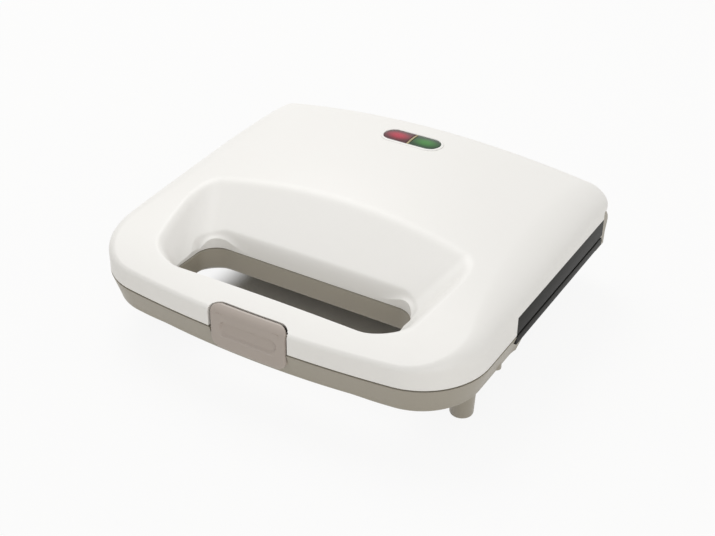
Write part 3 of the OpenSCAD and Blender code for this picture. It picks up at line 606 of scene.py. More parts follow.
screw_low, screw_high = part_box("upper_frame_screws")
FRAME_SCREWS = [(113.4, screw_low[1] / MM + 2.7), (113.4, screw_high[1] / MM - 2.7)]
COVER_SCREWS = [(99.1, -80.0)]
tray_low, tray_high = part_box("lower_reflector")
POST_ROWS = (tray_low[1] / MM + 12, tray_high[1] / MM - 12)
lower = cut_and_joined(
    base_form(0.0, BASE_Z - 0.15),
    ("-", cut_and_joined(base_form(WALL, 41.5),
                         ("-", solid_box(-28.9, 28.9, -110, -103.7, 5, 50)))),
    ("-", solid_box(-121, 121, 90.3, 110, 32.3, 52)),
    *[("+", m) for m in foot(FOOT_X, FOOT_Y, 6.5, SKIRT_Z, 24.2, 1.1)],
    *[("+", m) for m in foot(REAR_FOOT_X, REAR_FOOT_Y, 6.5, BELLY_Z, 11.4, 0.6)],
    *[("+", m) for x, y in FRAME_SCREWS for m in boss(x, y, 36.3)],
    *[("+", m) for x, y in COVER_SCREWS for m in boss(x, y, 37.1)],
    *[("+", m) for y in POST_ROWS for m in standing(80, y, 4, 11.5, 16.4)],
    ("+", ear(104, 117.2)), ("+", ear(-117.2, -104)),
    *[("-", m) for x, y in FRAME_SCREWS for m in standing(x, y, 1.55, 28.6, 40)],
    *[("-", m) for x, y in COVER_SCREWS for m in standing(x, y, 1.55, 29.4, 40)],
    *[("-", m) for m in both(117, 121, SIDE_Y0, SIDE_Y1, 34.1, 41)],
    ("-", rod(SLEEVE_R, 110.3, HINGE_Y, HINGE_Z)),
    ("-", turned([(1.9, 20.5), (1.9, 44)], (LEAD_X, HINGE_Y, 0))),
    ("-", solid_box(-POCKET_X, POCKET_X, -112, -106.2, 5, 47)),
    ("-", solid_box(-8.5, 8.5, -110, -102.5, 29, 33)),
    ("-", turned([(4.75, -4), (4.75, 4)], GROMMET, "Y")))
# Beige ABS in a finely sparked mould: satin, with an even fine grain and no flow marks.
beige_abs = moulded("beige_abs_sparked_mould", "#A69F91", "#A39C8D", 45, (0.36, 0.46), 0.7, 0.02,
                    **{"IOR": 1.52})
finished("lower_shell", lower, "base", beige_abs, ["lower_housing"])

# ---------------------------------------------------------------- latch
# A separate beige ABS moulding that wraps over the lid's front edge, with a finger recess in its
# face. Behind it two arms carry the pin in the lid, and a hook snaps under the base's keeper.
def latch_face(flat, d):
    """How the latch's face stands off its curve: a rounded edge and the long finger recess."""
    x, u = flat[:, 0], flat[:, 1]
    edge = -1.1 + np.sqrt(np.clip(1.21 - np.clip(1.1 - d, 0, 1.1) ** 2, 0, None))
    z = u + LATCH_LOW + LATCH_HALF
    qx, qz = np.abs(x - 0.2) - 14.4, np.abs(z - 42.2) - 0.3
    inside = 4.0 - (np.hypot(np.maximum(qx, 0), np.maximum(qz, 0)) + np.minimum(np.maximum(qx, qz),
                                                                                0))
    scoop = -1.5 * smooth_step(inside / 1.1) * (0.4 + 0.6 * smooth_step((z - 38) / 7))
    bead = 0.6 * smooth_step(1 - np.abs(z - 37.6) / 1.5) * smooth_step((18.6 - np.abs(x)) / 3)
    return edge + scoop + bead


arms = []
for side in (-18.2, 18.2):
    arms += [("+", turned([(2.5, side - 2), (2.8, side - 1.7), (2.8, side + 1.7), (2.5, side + 2)],
                          (0, LATCH_Y, PIN_Z), "X", 40)),
             ("+", solid_box(side - 2, side + 2, -108.3, LATCH_Y, PIN_Z - 2.4, PIN_Z + 2.2))]
latch_mesh = cut_and_joined(
    latch_plate(0, 0, -2.6, 30, 260, latch_face), *arms,
    ("+", solid_box(-7, 7, -108.3, -104.4, 29.8, 32.5)),
    ("-", rod(PIN_R + 0.05, 26, LATCH_Y, PIN_Z)))
# The same beige ABS, but smoother and a little lighter than the base.
latch_abs = moulded("beige_abs_latch", "#B4A9A0", "#B1A69C", 30, (0.34, 0.42), 0.7, 0.012,
                    **{"IOR": 1.52})
finished("latch_cap", latch_mesh, "latch", latch_abs, ["latch"])

# ---------------------------------------------------------------- handle covers
# Flat ABS covers close the handle's two halves from inside, each held by two screws. Where the
# slot's collar passes, they are cut away round it.


def dressed(node, body, stuff, soft=0.3, sharp=35, name=None, clear=None):
    """A cleaned copy of a node's own solid, its edges broken by so many millimetres, and cut
    clear of the slot by so many."""
    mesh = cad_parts[node].data.copy()
    bm = bmesh.new()
    bm.from_mesh(mesh)
    bmesh.ops.remove_doubles(bm, verts=bm.verts, dist=2e-6)
    if clear:
        bm.to_mesh(mesh)
        bm.free()
        mesh = cut_and_joined(mesh, ("-", prism(slot_ring(clear), 30, 50)))
        bm = bmesh.new()
        bm.from_mesh(mesh)
    bmesh.ops.dissolve_limit(bm, angle_limit=math.radians(0.6), verts=bm.verts, edges=bm.edges)
    keen = [e for e in bm.edges
            if len(e.link_faces) == 2 and e.calc_face_angle(0) > math.radians(sharp)]
    if soft:
        bmesh.ops.bevel(bm, geom=keen, offset=soft * MM, segments=2, profile=0.6, affect="EDGES",
                        clamp_overlap=True)
    bm.to_mesh(mesh)
    bm.free()
    return finished(name or node + "_part", mesh, body, stuff, [node], 30)


BASE_CLEAR, LID_CLEAR = 2.9, COLLAR + 0.5
dressed("lower_handle_cover", "base", beige_abs, clear=BASE_CLEAR)
dressed("upper_handle_cover", "lid", white_abs, clear=LID_CLEAR)

# ---------------------------------------------------------------- plate frames
# Dark glass-filled phenolic frames hold the plates; their outer lips close the side openings.
# Matt, warm black-brown, with a sparked grain that catches the light at its edges.
dark_phenolic = moulded("dark_phenolic_frame", "#23221F", "#1E1D1B", 25, (0.5, 0.64), 0.8, 0.03,
                        **{"Specular IOR Level": 0.22})
dressed("lower_plate_frame", "base", dark_phenolic, clear=BASE_CLEAR)
dressed("upper_plate_frame", "lid", dark_phenolic, clear=LID_CLEAR)

# ---------------------------------------------------------------- grill plates
# Die-cast aluminium with a sprayed and baked PTFE coat. Each has two halves, and a raised diagonal
# ridge parts each half into two triangular bread pockets.
plate_low, plate_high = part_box("upper_plate")
PLATE_W, PLATE_T, POCKET_D, RIDGE = 212.0, 2.5, 12.0, 6.0
UPPER_FACE, LOWER_FACE = 40.9, 39.1
PLATE_D = (plate_high[1] - plate_low[1]) / MM
PLATE_Y = (plate_high[1] + plate_low[1]) / MM / 2
DOME_W, DOME_D = 100.0, PLATE_D - 11


def in_triangle(x, y, s, t):
    """Distance into a pocket's outline; s picks the half, t its outer back or inner front."""
    w, d, a = DOME_W - 2 * RIDGE, DOME_D - 2 * RIDGE, 4.0
    u, diag = s * t, RIDGE * 0.7
    pts = np.array([(u * (w / 2 - a), t * (d / 2 - a)),
                    (-u * (w / 2 - a * 2.2 - diag), t * (d / 2 - a)),
                    (u * (w / 2 - a), -t * (d / 2 - a * 2.2 - diag))]) + (s * (0.5 + DOME_W / 2),
                                                                          PLATE_Y)
    turn = np.sign(np.cross(pts[1] - pts[0], pts[2] - pts[0]))
    near, inside = np.full(x.shape, 1e9), np.full(x.shape, True)
    for p, q in zip(pts, np.roll(pts, -1, 0)):
        e, rel = q - p, np.stack([x - p[0], y - p[1]], -1)
        k = np.clip((rel @ e) / (e @ e), 0, 1)
        near = np.minimum(near, np.hypot(rel[..., 0] - k * e[0], rel[..., 1] - k * e[1]))
        inside &= turn * (e[0] * rel[..., 1] - e[1] * rel[..., 0]) > 0
    return np.where(inside, near, -near) + a


def pocket_depth(x, y):
    """Depth of the four pockets below the plate's face, with rounded ridges and a shell pattern."""
    deep = np.zeros(x.shape)
    for s in (-1, 1):
        for t in (-1, 1):
            v = in_triangle(x, y, s, t)
            wall = np.clip(v / 5.5, 0, 1)
            shape = POCKET_D * (wall * wall * (3 - 2 * wall)) ** 0.75
            corner = (s * (0.5 + DOME_W / 2) + s * t * 38, PLATE_Y + t * 43.5)
            ray = np.arctan2(y - corner[1], x - corner[0])
            flute = 0.45 * (1 - np.cos(ray * 44)) / 2 * smooth_step((v - 6) / 8)
            deep = np.maximum(deep, shape - flute)
    return deep


def dome_height(x, y):
    """How far the plate's back bulges over each half."""
    q = np.stack([np.abs(np.abs(x) - 0.5 - DOME_W / 2) - DOME_W / 2 + 8,
                  np.abs(y - PLATE_Y) - DOME_D / 2 + 8], -1)
    v = 8 - np.hypot(*np.moveaxis(np.maximum(q, 0), -1, 0)) - np.minimum(q.max(-1), 0)
    return POCKET_D * smooth_step(v / 4.5)


def grill(face_z, up):
    """The plate as one closed mesh; up is 1 in the lid and -1 in the base."""
    nx, ny = 236, 138
    x = np.linspace(-PLATE_W / 2, PLATE_W / 2, nx)[:, None] + np.zeros((nx, ny))
    y = PLATE_Y + np.linspace(-PLATE_D / 2, PLATE_D / 2, ny)[None] + np.zeros((nx, ny))
    rim = np.minimum(PLATE_W / 2 - np.abs(x), PLATE_D / 2 - np.abs(y - PLATE_Y))
    soft = 0.5 * (1 - np.sqrt(1 - np.clip(1 - rim / 1.0, 0, 1) ** 2))
    face = np.stack([x, y, face_z + up * (pocket_depth(x, y) + soft)], -1)
    back = np.stack([x, y, face_z + up * (PLATE_T + np.minimum(dome_height(x, y), POCKET_D))], -1)
    thick = face_z + up * np.minimum(pocket_depth(x, y) + 2.2, POCKET_D + PLATE_T)
    back[..., 2] = np.where(up * (back[..., 2] - thick) < 0, thick, back[..., 2])
    n = nx * ny
    index = np.arange(n).reshape(nx, ny)
    quads = np.stack([index[:-1, :-1], index[1:, :-1], index[1:, 1:], index[:-1, 1:]],
                     -1).reshape(-1, 4)
    loop = np.concatenate([index[:-1, 0], index[-1, :-1], index[:0:-1, -1], index[0, :0:-1]])
    step = np.roll(loop, -1)
    faces = np.concatenate([quads, quads[:, ::-1] + n,
                            np.stack([loop, loop + n, step + n, step], -1)])
    return mesh_from(np.concatenate([face.reshape(-1, 3), back.reshape(-1, 3)]), faces)


# Baked PTFE coat on cast aluminium: near-black with a fine sparkle of flakes, and a low sheen.
ptfe, tree, place = empty("ptfe_coated_cast_aluminium")
flakes = add(tree, "TexVoronoi", {"Vector": place, "Scale": 1000 / 0.9})
cloudy = add(tree, "TexNoise", {"Vector": place, "Scale": 1000 / 14, "Detail": 4.0})
spark = add(tree, "MapRange",
            {"Value": flakes.outputs["Distance"], "From Min": 0.1, "From Max": 0.25,
             "To Min": 1.0, "To Max": 0.0})
coat = add(tree, "Mix", {0: spark.outputs[0], 6: linear("#26262A"), 7: linear("#4A4A50")},
           data_type="RGBA")
sheen = add(tree, "MapRange", {"Value": cloudy.outputs[0], "To Min": 0.34, "To Max": 0.5})
skin = add(tree, "Bump",
           {"Height": flakes.outputs["Distance"], "Distance": 0.02 * MM, "Strength": 1.0})
shader = add(tree, "BsdfPrincipled", {"Base Color": coat.outputs[2], "Roughness": sheen.outputs[0],
                                      "Normal": skin.outputs[0], "IOR": 1.4})
add(tree, "OutputMaterial", {"Surface": shader.outputs[0]})
finished("upper_grill_plate", grill(UPPER_FACE, 1), "lid", ptfe, ["upper_plate"])
finished("lower_grill_plate", grill(LOWER_FACE, -1), "base", ptfe, ["lower_plate"])

# ---------------------------------------------------------------- heating elements
# Steel-sheathed tubular elements, bent to a U on the plates' backs, with bare pins at their ends.
# The sheath is swept along its path, and the pins and collars are turned and joined to it.
SEAM_Z, TRAY_UP = 40.0, 55.6
TRAY_DOWN = 2 * SEAM_Z - TRAY_UP
ELEMENT_R, ELEMENT_RUN, ELEMENT_BEND = 3.2, 150.0, (DOME_D - 16) / 2 - 17.5


def tube_group():
    """Node group that sweeps a round bar along the edges of a mesh: inputs for radius and stuff."""
    group = bpy.data.node_groups.new("bar_along_path", "GeometryNodeTree")
    face = group.interface
    face.new_socket("Path", in_out="INPUT", socket_type="NodeSocketGeometry")
    face.new_socket("Radius", in_out="INPUT", socket_type="NodeSocketFloat")
    face.new_socket("Stuff", in_out="INPUT", socket_type="NodeSocketMaterial")
    face.new_socket("Bar", in_out="OUTPUT", socket_type="NodeSocketGeometry")

    given = add(group, "NodeGroupInput").outputs
    line = add(group, "GeometryNodeMeshToCurve", {"Mesh": given["Path"]})
    ring = add(group, "GeometryNodeCurvePrimitiveCircle",
               {"Resolution": 20, "Radius": given["Radius"]})
    bar = add(group, "GeometryNodeCurveToMesh",
              {"Curve": line.outputs[0], "Profile Curve": ring.outputs[0],
               "Fill Caps": True})
    smooth = add(group, "GeometryNodeSetShadeSmooth", {"Geometry": bar.outputs[0]})
    real = add(group, "GeometryNodeRealizeInstances", {"Geometry": smooth.outputs[0]})
    last = add(group, "GeometryNodeSetMaterial",
               {"Geometry": real.outputs[0], "Material": given["Stuff"]})
    add(group, "NodeGroupOutput", {"Bar": last.outputs[0]})
    return group


def grown(group, mesh, **values):
    """The mesh that a node group makes from another, with the group's named inputs set."""
    source = bpy.data.objects.new("source", mesh)
    bpy.context.scene.collection.objects.link(source)
    change = source.modifiers.new("grow", "NODES")
    change.node_group = group
    for item in group.interface.items_tree:
        if item.item_type == "SOCKET" and item.in_out == "INPUT" and item.name in values:
            change[item.identifier] = values[item.name]
    made = bpy.data.meshes.new_from_object(
        source.evaluated_get(bpy.context.evaluated_depsgraph_get()))
    source.modifiers.clear()
    bpy.data.objects.remove(source)
    bm = bmesh.new()
    bm.from_mesh(made)
    bmesh.ops.recalc_face_normals(bm, faces=bm.faces)
    bm.to_mesh(made)
    bm.free()
    return made


along_path = tube_group()


def bar(points, radius, stuff):
    """Round bar through points in mm."""
    line = bpy.data.meshes.new("path")
    line.from_pydata((np.asarray(points) * MM).tolist(),
                     [(i, i + 1) for i in range(len(points) - 1)], [])
    return grown(along_path, line, Radius=radius * MM, Stuff=stuff)


def metal(tree, colours, mixed_by, rough, dulled_by):
    """Bare metal: one pattern mixes two near colours, another sets roughness between two values."""
    tint = add(tree, "Mix", {0: mixed_by, 6: linear(colours[0]), 7: linear(colours[1])},
               data_type="RGBA")
    dull = add(tree, "MapRange", {"Value": dulled_by, "To Min": rough[0], "To Max": rough[1]})
    shader = add(tree, "BsdfPrincipled", {"Base Color": tint.outputs[2],
                                          "Roughness": dull.outputs[0], "Metallic": 1.0})
    add(tree, "OutputMaterial", {"Surface": shader.outputs[0]})


# Drawn stainless sheath, dulled and yellowed by heat in bands.
sheath, tree, place = empty("heat_tinted_steel_sheath")
bands = add(tree, "TexNoise", {"Vector": place, "Scale": 1000 / 28, "Detail": 5.0})
drawn = add(tree, "TexNoise",
            {"Vector": add(tree, "Mapping",
                           {"Vector": place, "Scale": (60, 2500, 2500)}).outputs[0],
             "Scale": 1.0, "Detail": 2.0})
metal(tree, ("#8E8A84", "#8A7660"), bands.outputs[0], (0.35, 0.55), drawn.outputs[0])


def element(z):
    """U-bent sheath at a height, with a thin pin at each end."""
    bend = arc((ELEMENT_RUN / 2 - ELEMENT_BEND, PLATE_Y), ELEMENT_BEND,
               -math.pi / 2, math.pi / 2, 33)
    runs = [np.stack([np.linspace(-ELEMENT_RUN / 2, bend[0][0], 12)[:-1],
                      np.full(11, PLATE_Y - ELEMENT_BEND)], 1),
            bend, np.stack([np.linspace(bend[0][0], -ELEMENT_RUN / 2, 12)[1:],
                            np.full(11, PLATE_Y + ELEMENT_BEND)], 1)]
    path = np.concatenate(runs)
    sheath_bar = bar(np.concatenate([path, np.full((len(path), 1), z)], 1), ELEMENT_R, sheath)
    steps = []
    for side in (-1, 1):
        pin = turned([(1.0, -ELEMENT_RUN / 2 - 8), (1.2, -ELEMENT_RUN / 2 - 7.6),
                      (1.2, -ELEMENT_RUN / 2 + 2)], (0, PLATE_Y + side * ELEMENT_BEND, z), "X", 24)
        collar = turned([(1.1, -ELEMENT_RUN / 2 - 1.5), (2.2, -ELEMENT_RUN / 2 - 1.5),
                         (2.6, -ELEMENT_RUN / 2 - 1), (2.6, -ELEMENT_RUN / 2 + 0.5)],
                        (0, PLATE_Y + side * ELEMENT_BEND, z), "X", 24)
        steps += [("+", pin), ("+", collar)]
    return cut_and_joined(sheath_bar, *steps)


finished("upper_element", element(TRAY_UP + ELEMENT_R), "lid", sheath,
         ["upper_heating_element"], 40)
finished("lower_element", element(TRAY_DOWN - ELEMENT_R), "base", sheath,
         ["lower_heating_element"], 40)

# ---------------------------------------------------------------- reflector trays
# Folded aluminised-steel trays close over the elements and throw their heat at the plates.
# Hot-dipped sheet with a faint spangle about 6 mm across.
tray_steel, tree, place = empty("aluminised_steel_sheet")
spangle = add(tree, "TexVoronoi", {"Vector": place, "Scale": 1000 / 6})
metal(tree, ("#B4B6B6", "#C6C8C8"), spangle.outputs["Color"], (0.28, 0.42),
      spangle.outputs["Distance"])
dressed("upper_reflector", "lid", tray_steel)
dressed("lower_reflector", "base", tray_steel)

# ---------------------------------------------------------------- screws
# Self-tapping steel screws, zinc plated, with lens heads and a cross recess: four hold each plate
# frame and two each handle cover.


def screw_group():
    """Node group that sets a screw on each point, with inputs for its sizes, way up and stuff."""
    group = bpy.data.node_groups.new("cross_screws", "GeometryNodeTree")
    for name, kind in (("Places", "Geometry"), ("Head", "Float"), ("Shank", "Float"),
                       ("Length", "Float"), ("Turn", "Float"), ("Stuff", "Material")):
        group.interface.new_socket(name, in_out="INPUT", socket_type="NodeSocket" + kind)
    group.interface.new_socket("Screws", in_out="OUTPUT", socket_type="NodeSocketGeometry")

    given = add(group, "NodeGroupInput").outputs
    joined = add(group, "GeometryNodeJoinGeometry")
    head = add(group, "GeometryNodeMeshUVSphere",
               {"Segments": 32, "Rings": 16, "Radius": given["Head"]})
    slots = [add(group, "GeometryNodeMeshCube", {"Size": size}).outputs[0]
             for size in ((0.0034, 0.0007, 0.0016), (0.0007, 0.0034, 0.0016))]
    cross = add(group, "GeometryNodeJoinGeometry")
    for part in slots:
        group.links.new(part, cross.inputs[0])
    cut = add(group, "GeometryNodeMeshBoolean", {}, operation="DIFFERENCE", solver="EXACT")
    dome = add(group, "GeometryNodeTransform", {"Geometry": head.outputs[0], "Scale": (1, 1, 0.277),
                                                "Translation": (0, 0, 0.75 * MM)})
    recess = add(group, "GeometryNodeTransform", {"Geometry": cross.outputs[0],
                                                  "Translation": (0, 0, 0.1 * MM)})
    group.links.new(dome.outputs[0], cut.inputs["Mesh 1"])
    group.links.new(recess.outputs[0], cut.inputs["Mesh 2"])
    shank = add(group, "GeometryNodeMeshCylinder",
                {"Vertices": 24, "Radius": given["Shank"], "Depth": given["Length"]},
                fill_type="NGON")
    half = add(group, "Math", {0: given["Length"], 1: 0.5}, operation="MULTIPLY")
    where = add(group, "CombineXYZ", {"Z": half.outputs[0]})
    rod_part = add(group, "GeometryNodeTransform",
                   {"Geometry": shank.outputs["Mesh"], "Translation": where.outputs[0]})
    coil = add(group, "GeometryNodeCurveSpiral",
               {"Resolution": 20, "Rotations": 5.0, "Start Radius": 0.00145,
                "End Radius": 0.00145, "Height": 0.006})
    wire = add(group, "GeometryNodeCurvePrimitiveCircle", {"Resolution": 5, "Radius": 0.0001})
    thread = add(group, "GeometryNodeCurveToMesh",
                 {"Curve": coil.outputs[0], "Profile Curve": wire.outputs[0],
                  "Fill Caps": True})
    raised = add(group, "GeometryNodeTransform", {"Geometry": thread.outputs[0],
                                                  "Translation": (0, 0, 2.2 * MM)})
    for part in (cut.outputs["Mesh"], rod_part.outputs[0], raised.outputs[0]):
        group.links.new(part, joined.inputs[0])
    tilt = add(group, "CombineXYZ", {"X": given["Turn"]})
    each = add(group, "GeometryNodeInstanceOnPoints",
               {"Points": given["Places"], "Instance": joined.outputs[0],
                "Rotation": tilt.outputs[0]})
    real = add(group, "GeometryNodeRealizeInstances", {"Geometry": each.outputs[0]})
    last = add(group, "GeometryNodeSetMaterial",
               {"Geometry": real.outputs[0], "Material": given["Stuff"]})
    add(group, "NodeGroupOutput", {"Screws": last.outputs[0]})
    return group


# Bright zinc plate, faintly blue, with fine marks from the driver.
zinc, tree, place = empty("zinc_plated_steel")
marks = add(tree, "TexNoise", {"Vector": place, "Scale": 1000 / 0.5, "Detail": 4.0})
metal(tree, ("#BFC3C6", "#AEB0AE"), marks.outputs[0], (0.22, 0.4), marks.outputs[0])
cross_screws = screw_group()


def screws(name, body, node, places, z, up, length):
    points = bpy.data.meshes.new("places")
    points.from_pydata([(s * x * MM, y * MM, z * MM) for x, y in places for s in (-1, 1)], [], [])
    mesh = grown(cross_screws, points, Head=2.7 * MM, Shank=1.4 * MM, Length=length * MM,
                 Turn=0.0 if up else math.pi, Stuff=zinc)
    finished(name, mesh, body, zinc, [node], 35)


screws("upper_frame_screw_set", "lid", "upper_frame_screws", FRAME_SCREWS, 40.95, True, 9)
screws("lower_frame_screw_set", "base", "lower_frame_screws", FRAME_SCREWS, 39.05, False, 9)
screws("upper_cover_screw_set", "lid", "upper_cover_screws", COVER_SCREWS, 40.45, True, 8)
screws("lower_cover_screw_set", "base", "lower_cover_screws", COVER_SCREWS, 39.55, False, 8)

# ---------------------------------------------------------------- wiring in the base
# At the back the cord's leads meet a steatite terminal block and a thermal fuse, and a clamp and
# a grommet hold the cord. One sleeved lead crosses to the lid on the hinge line.
# Glazed steatite: cream, glossy, with a faint mottle.
steatite = moulded("glazed_steatite", "#EDE6D6", "#E4DBC8", 4, (0.12, 0.2), 2.5, 0.02,
                   **{"IOR": 1.6})
dressed("terminal_block", "base", steatite)
# Fuse in a lacquered brass case.
fuse_case, tree, place = empty("lacquered_brass_case")
marks = add(tree, "TexNoise", {"Vector": place, "Scale": 1000 / 1.2, "Detail": 4.0})
metal(tree, ("#C9AE78", "#B89A62"), marks.outputs[0], (0.25, 0.45), marks.outputs[0])
fuse_box = [np.array(p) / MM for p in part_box("thermal_fuse")]
fuse_y, fuse_z = (fuse_box[0][1] + fuse_box[1][1]) / 2, (fuse_box[0][2] + fuse_box[1][2]) / 2
finished("thermal_fuse_case", turned(
    [(0.55, 2), (0.6, 2.3), (0.6, 7.4), (1.6, 7.8), (2.4, 8.1), (2.6, 8.5), (2.6, 10.4),
     (2.4, 10.6), (2.4, 11), (2.6, 11.2), (2.6, 21.5), (2.3, 22), (1.2, 22.3), (0.6, 22.8),
     (0.6, 27.7), (0.55, 28)],
    (0, fuse_y, fuse_z), "X", 48), "base", fuse_case, ["thermal_fuse"])
dressed("cord_clamp", "base", dark_phenolic)
# Moulded rubber, matt black with a slight bloom.
rubber = moulded("black_moulded_rubber", "#2A2928", "#343331", 3, (0.6, 0.8), 0.6, 0.03,
                 **{"IOR": 1.5})
finished("cord_grommet_ring", turned(
    [(3.3, -3), (4.4, -3), (4.7, -2.6), (4.7, 0.1), (5.9, 0.1), (6.2, 0.45), (6.2, 1.1),
     (5.8, 1.6), (3.7, 1.6), (3.2, 1.2), (3.2, -2.7), (3.3, -3)], GROMMET, "Y", 64),
         "base", rubber, ["cord_grommet"])
# Braided glass-fibre sleeving, cream, its braid about 1 mm a step.
sleeving, tree, place = empty("braided_glass_sleeving")
one = add(tree, "TexWave", {"Vector": place, "Scale": 1000 / 1.1, "Distortion": 0.4},
          bands_direction="DIAGONAL")
turned_place = add(tree, "Mapping", {"Vector": place, "Scale": (-1, 1, 1)})
two = add(tree, "TexWave",
          {"Vector": turned_place.outputs[0], "Scale": 1000 / 1.1, "Distortion": 0.4},
          bands_direction="DIAGONAL")
weave = add(tree, "Math", {0: one.outputs[1], 1: two.outputs[1]}, operation="MAXIMUM")
# Painted shade: where the weave is low, between the strands, the cream is mixed darker.
tint = add(tree, "Mix", {0: weave.outputs[0], 6: linear("#B9B2A2"), 7: linear("#EFEADF")},
           data_type="RGBA")
skin = add(tree, "Bump", {"Height": weave.outputs[0], "Distance": 0.1 * MM, "Strength": 1.0})
shader = add(tree, "BsdfPrincipled",
             {"Base Color": tint.outputs[2], "Roughness": 0.7, "Normal": skin.outputs[0]})
add(tree, "OutputMaterial", {"Surface": shader.outputs[0]})
turn_way = [(LEAD_X + 2.5 * (1 - math.cos(k)), HINGE_Y, HINGE_Z - 2.5 + 2.5 * math.sin(k))
            for k in np.linspace(0, math.pi / 2, 9)]
lead_path = [(LEAD_X, HINGE_Y, z) for z in np.linspace(21.7, 40, 12)] + turn_way + \
            [(x, HINGE_Y, HINGE_Z) for x in np.linspace(-108, -60.2, 30)]
finished("lid_lead_sleeved", bar(lead_path, 1.55, sleeving), "base", sleeving,
         ["lid_lead"], 40)

# ---------------------------------------------------------------- hinge sleeves
# Two short hollow sleeves, turned in steel and nickel-plated, sit in the base's ears. The lid's
# barrel turns on them, and the lead to the lid passes through one.
nickel, tree, place = empty("nickel_plated_turned_steel")
lines = add(tree, "TexNoise",
            {"Vector": add(tree, "Mapping",
                           {"Vector": place, "Scale": (9000, 120, 120)}).outputs[0],
             "Scale": 1.0, "Detail": 2.0})
metal(tree, ("#C4C0B8", "#B2AEA6"), lines.outputs[0], (0.2, 0.36), lines.outputs[0])
for side, node in ((1, "hinge_sleeve_right"), (-1, "hinge_sleeve_left")):
    low, high = (np.array(p)[0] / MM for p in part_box(node))
    finished(node.replace("hinge_sleeve", "hinge_bush"), turned(
        [(2.8, low), (3.8, low), (4.0, low + 0.3), (4.0, high - 0.3), (3.8, high), (2.8, high),
         (2.6, high - 0.2), (2.6, low + 0.2), (2.8, low)],
        (0, HINGE_Y, HINGE_Z), "X", 64), "base", nickel, [node])

# ---------------------------------------------------------------- thermostat
# A disc thermostat sits on the upper tray and switches the elements. Its case and its two spade
# tongues are plated steel, so it wears the screws' zinc.
dressed("thermostat", "lid", zinc, 0.25)

# ---------------------------------------------------------------- indicator
# An oval window in the lid's crown: a white rim, a red and a green lens of tinted polycarbonate,
# and a cream light bar between them. Two neon lamps shine up from a holder below.


def oval_cap(grow, x0, x1, top, low, crown):
    """Part of the window between two x, domed: its top falls by crown from middle to rim."""
    edge = pill(grow) - WINDOW
    edge = edge[(edge[:, 0] > x0 - 1e-6) & (edge[:, 0] < x1 + 1e-6)]
    for x in (x0, x1):
        if abs(x) < OVAL_X:
            w = OVAL_R + grow
            edge = np.concatenate([edge, np.stack([np.full(15, x), np.linspace(-w, w, 15)], 1)])
    middle = np.array([np.clip(np.mean(edge[:, 0]), x0 + 3, x1 - 3), 0.0])
    order = np.argsort(np.arctan2(edge[:, 1], edge[:, 0] - middle[0]))
    edge = edge[order]
    rows = []
    for k in (0.02, 0.2, 0.4, 0.6, 0.75, 0.86, 0.94):
        flat = middle + (edge - middle) * k
        r = np.hypot(np.clip(np.abs(flat[:, 0]) - OVAL_X, 0, None), flat[:, 1]) / (OVAL_R + grow)
        rows.append(np.column_stack([flat + WINDOW, top - crown * r ** 2]))
    flat = middle + (edge - middle) * 0.985
    rows.append(np.column_stack([flat + WINDOW, np.full(len(edge), top - crown - 0.12)]))
    rows.append(np.column_stack([edge + WINDOW, np.full(len(edge), top - crown - 0.4)]))
    rows.append(np.column_stack([edge + WINDOW, np.full(len(edge), low)]))
    return stacked(rows)


LENS_TOP, LENS_LOW = WINDOW_Z + 0.55, WINDOW_Z - 3.4


def lens(name, core, rim):
    """Tinted polycarbonate, glossy: its own colour in the middle, darkened towards its rim by painted
    shade from the window's rim.
    """
    made, tree, place = empty(name)
    centred = add(tree, "Mapping", {"Vector": place, "Location": (0, -WINDOW[1] * MM, 0)})
    parts = add(tree, "SeparateXYZ", {"Vector": centred.outputs[0]})
    along = add(tree, "Math", {0: parts.outputs["X"]}, operation="ABSOLUTE")
    beyond = add(tree, "Math", {0: along.outputs[0], 1: 9.5 * MM}, operation="SUBTRACT")
    past = add(tree, "Math", {0: beyond.outputs[0], 1: 0.62}, operation="MULTIPLY")
    flat = add(tree, "CombineXYZ", {"X": past.outputs[0], "Y": parts.outputs["Y"]})
    far = add(tree, "VectorMath", {0: flat.outputs[0]}, operation="LENGTH")
    # Painted shade: the colour falls from the core colour to the darker rim colour with distance from
    # each lens's middle.
    shade = add(tree, "MapRange",
                {"Value": far.outputs["Value"], "From Min": 0.8 * MM, "From Max": 6.6 * MM},
                interpolation_type="SMOOTHSTEP")
    ripples = add(tree, "TexNoise", {"Vector": place, "Scale": 1000 / 2.2, "Detail": 1.0})
    tint = add(tree, "Mix", {0: shade.outputs[0], 6: linear(core), 7: linear(rim)},
               data_type="RGBA")
    gloss = add(tree, "MapRange", {"Value": ripples.outputs[0], "To Min": 0.08, "To Max": 0.16})
    body = add(tree, "BsdfPrincipled",
               {"Base Color": tint.outputs[2], "Roughness": gloss.outputs[0], "IOR": 1.58,
                "Specular IOR Level": 0.3})
    add(tree, "OutputMaterial", {"Surface": body.outputs[0]})
    return made


# The second colour of each lens is the painted shade at its rim, not a tint of the lens.
red_lens = lens("red_polycarbonate_lens", "#B5203C", "#4A1018")
green_lens = lens("green_polycarbonate_lens", "#2E7E22", "#0E3A16")
finished("red_lens", oval_cap(-0.05, -30, -0.65, LENS_TOP, LENS_LOW, 0.45), "lid",
         red_lens, ["indicator_lens_red"])
finished("green_lens", oval_cap(-0.05, 0.65, 30, LENS_TOP, LENS_LOW, 0.45), "lid",
         green_lens, ["indicator_lens_green"])
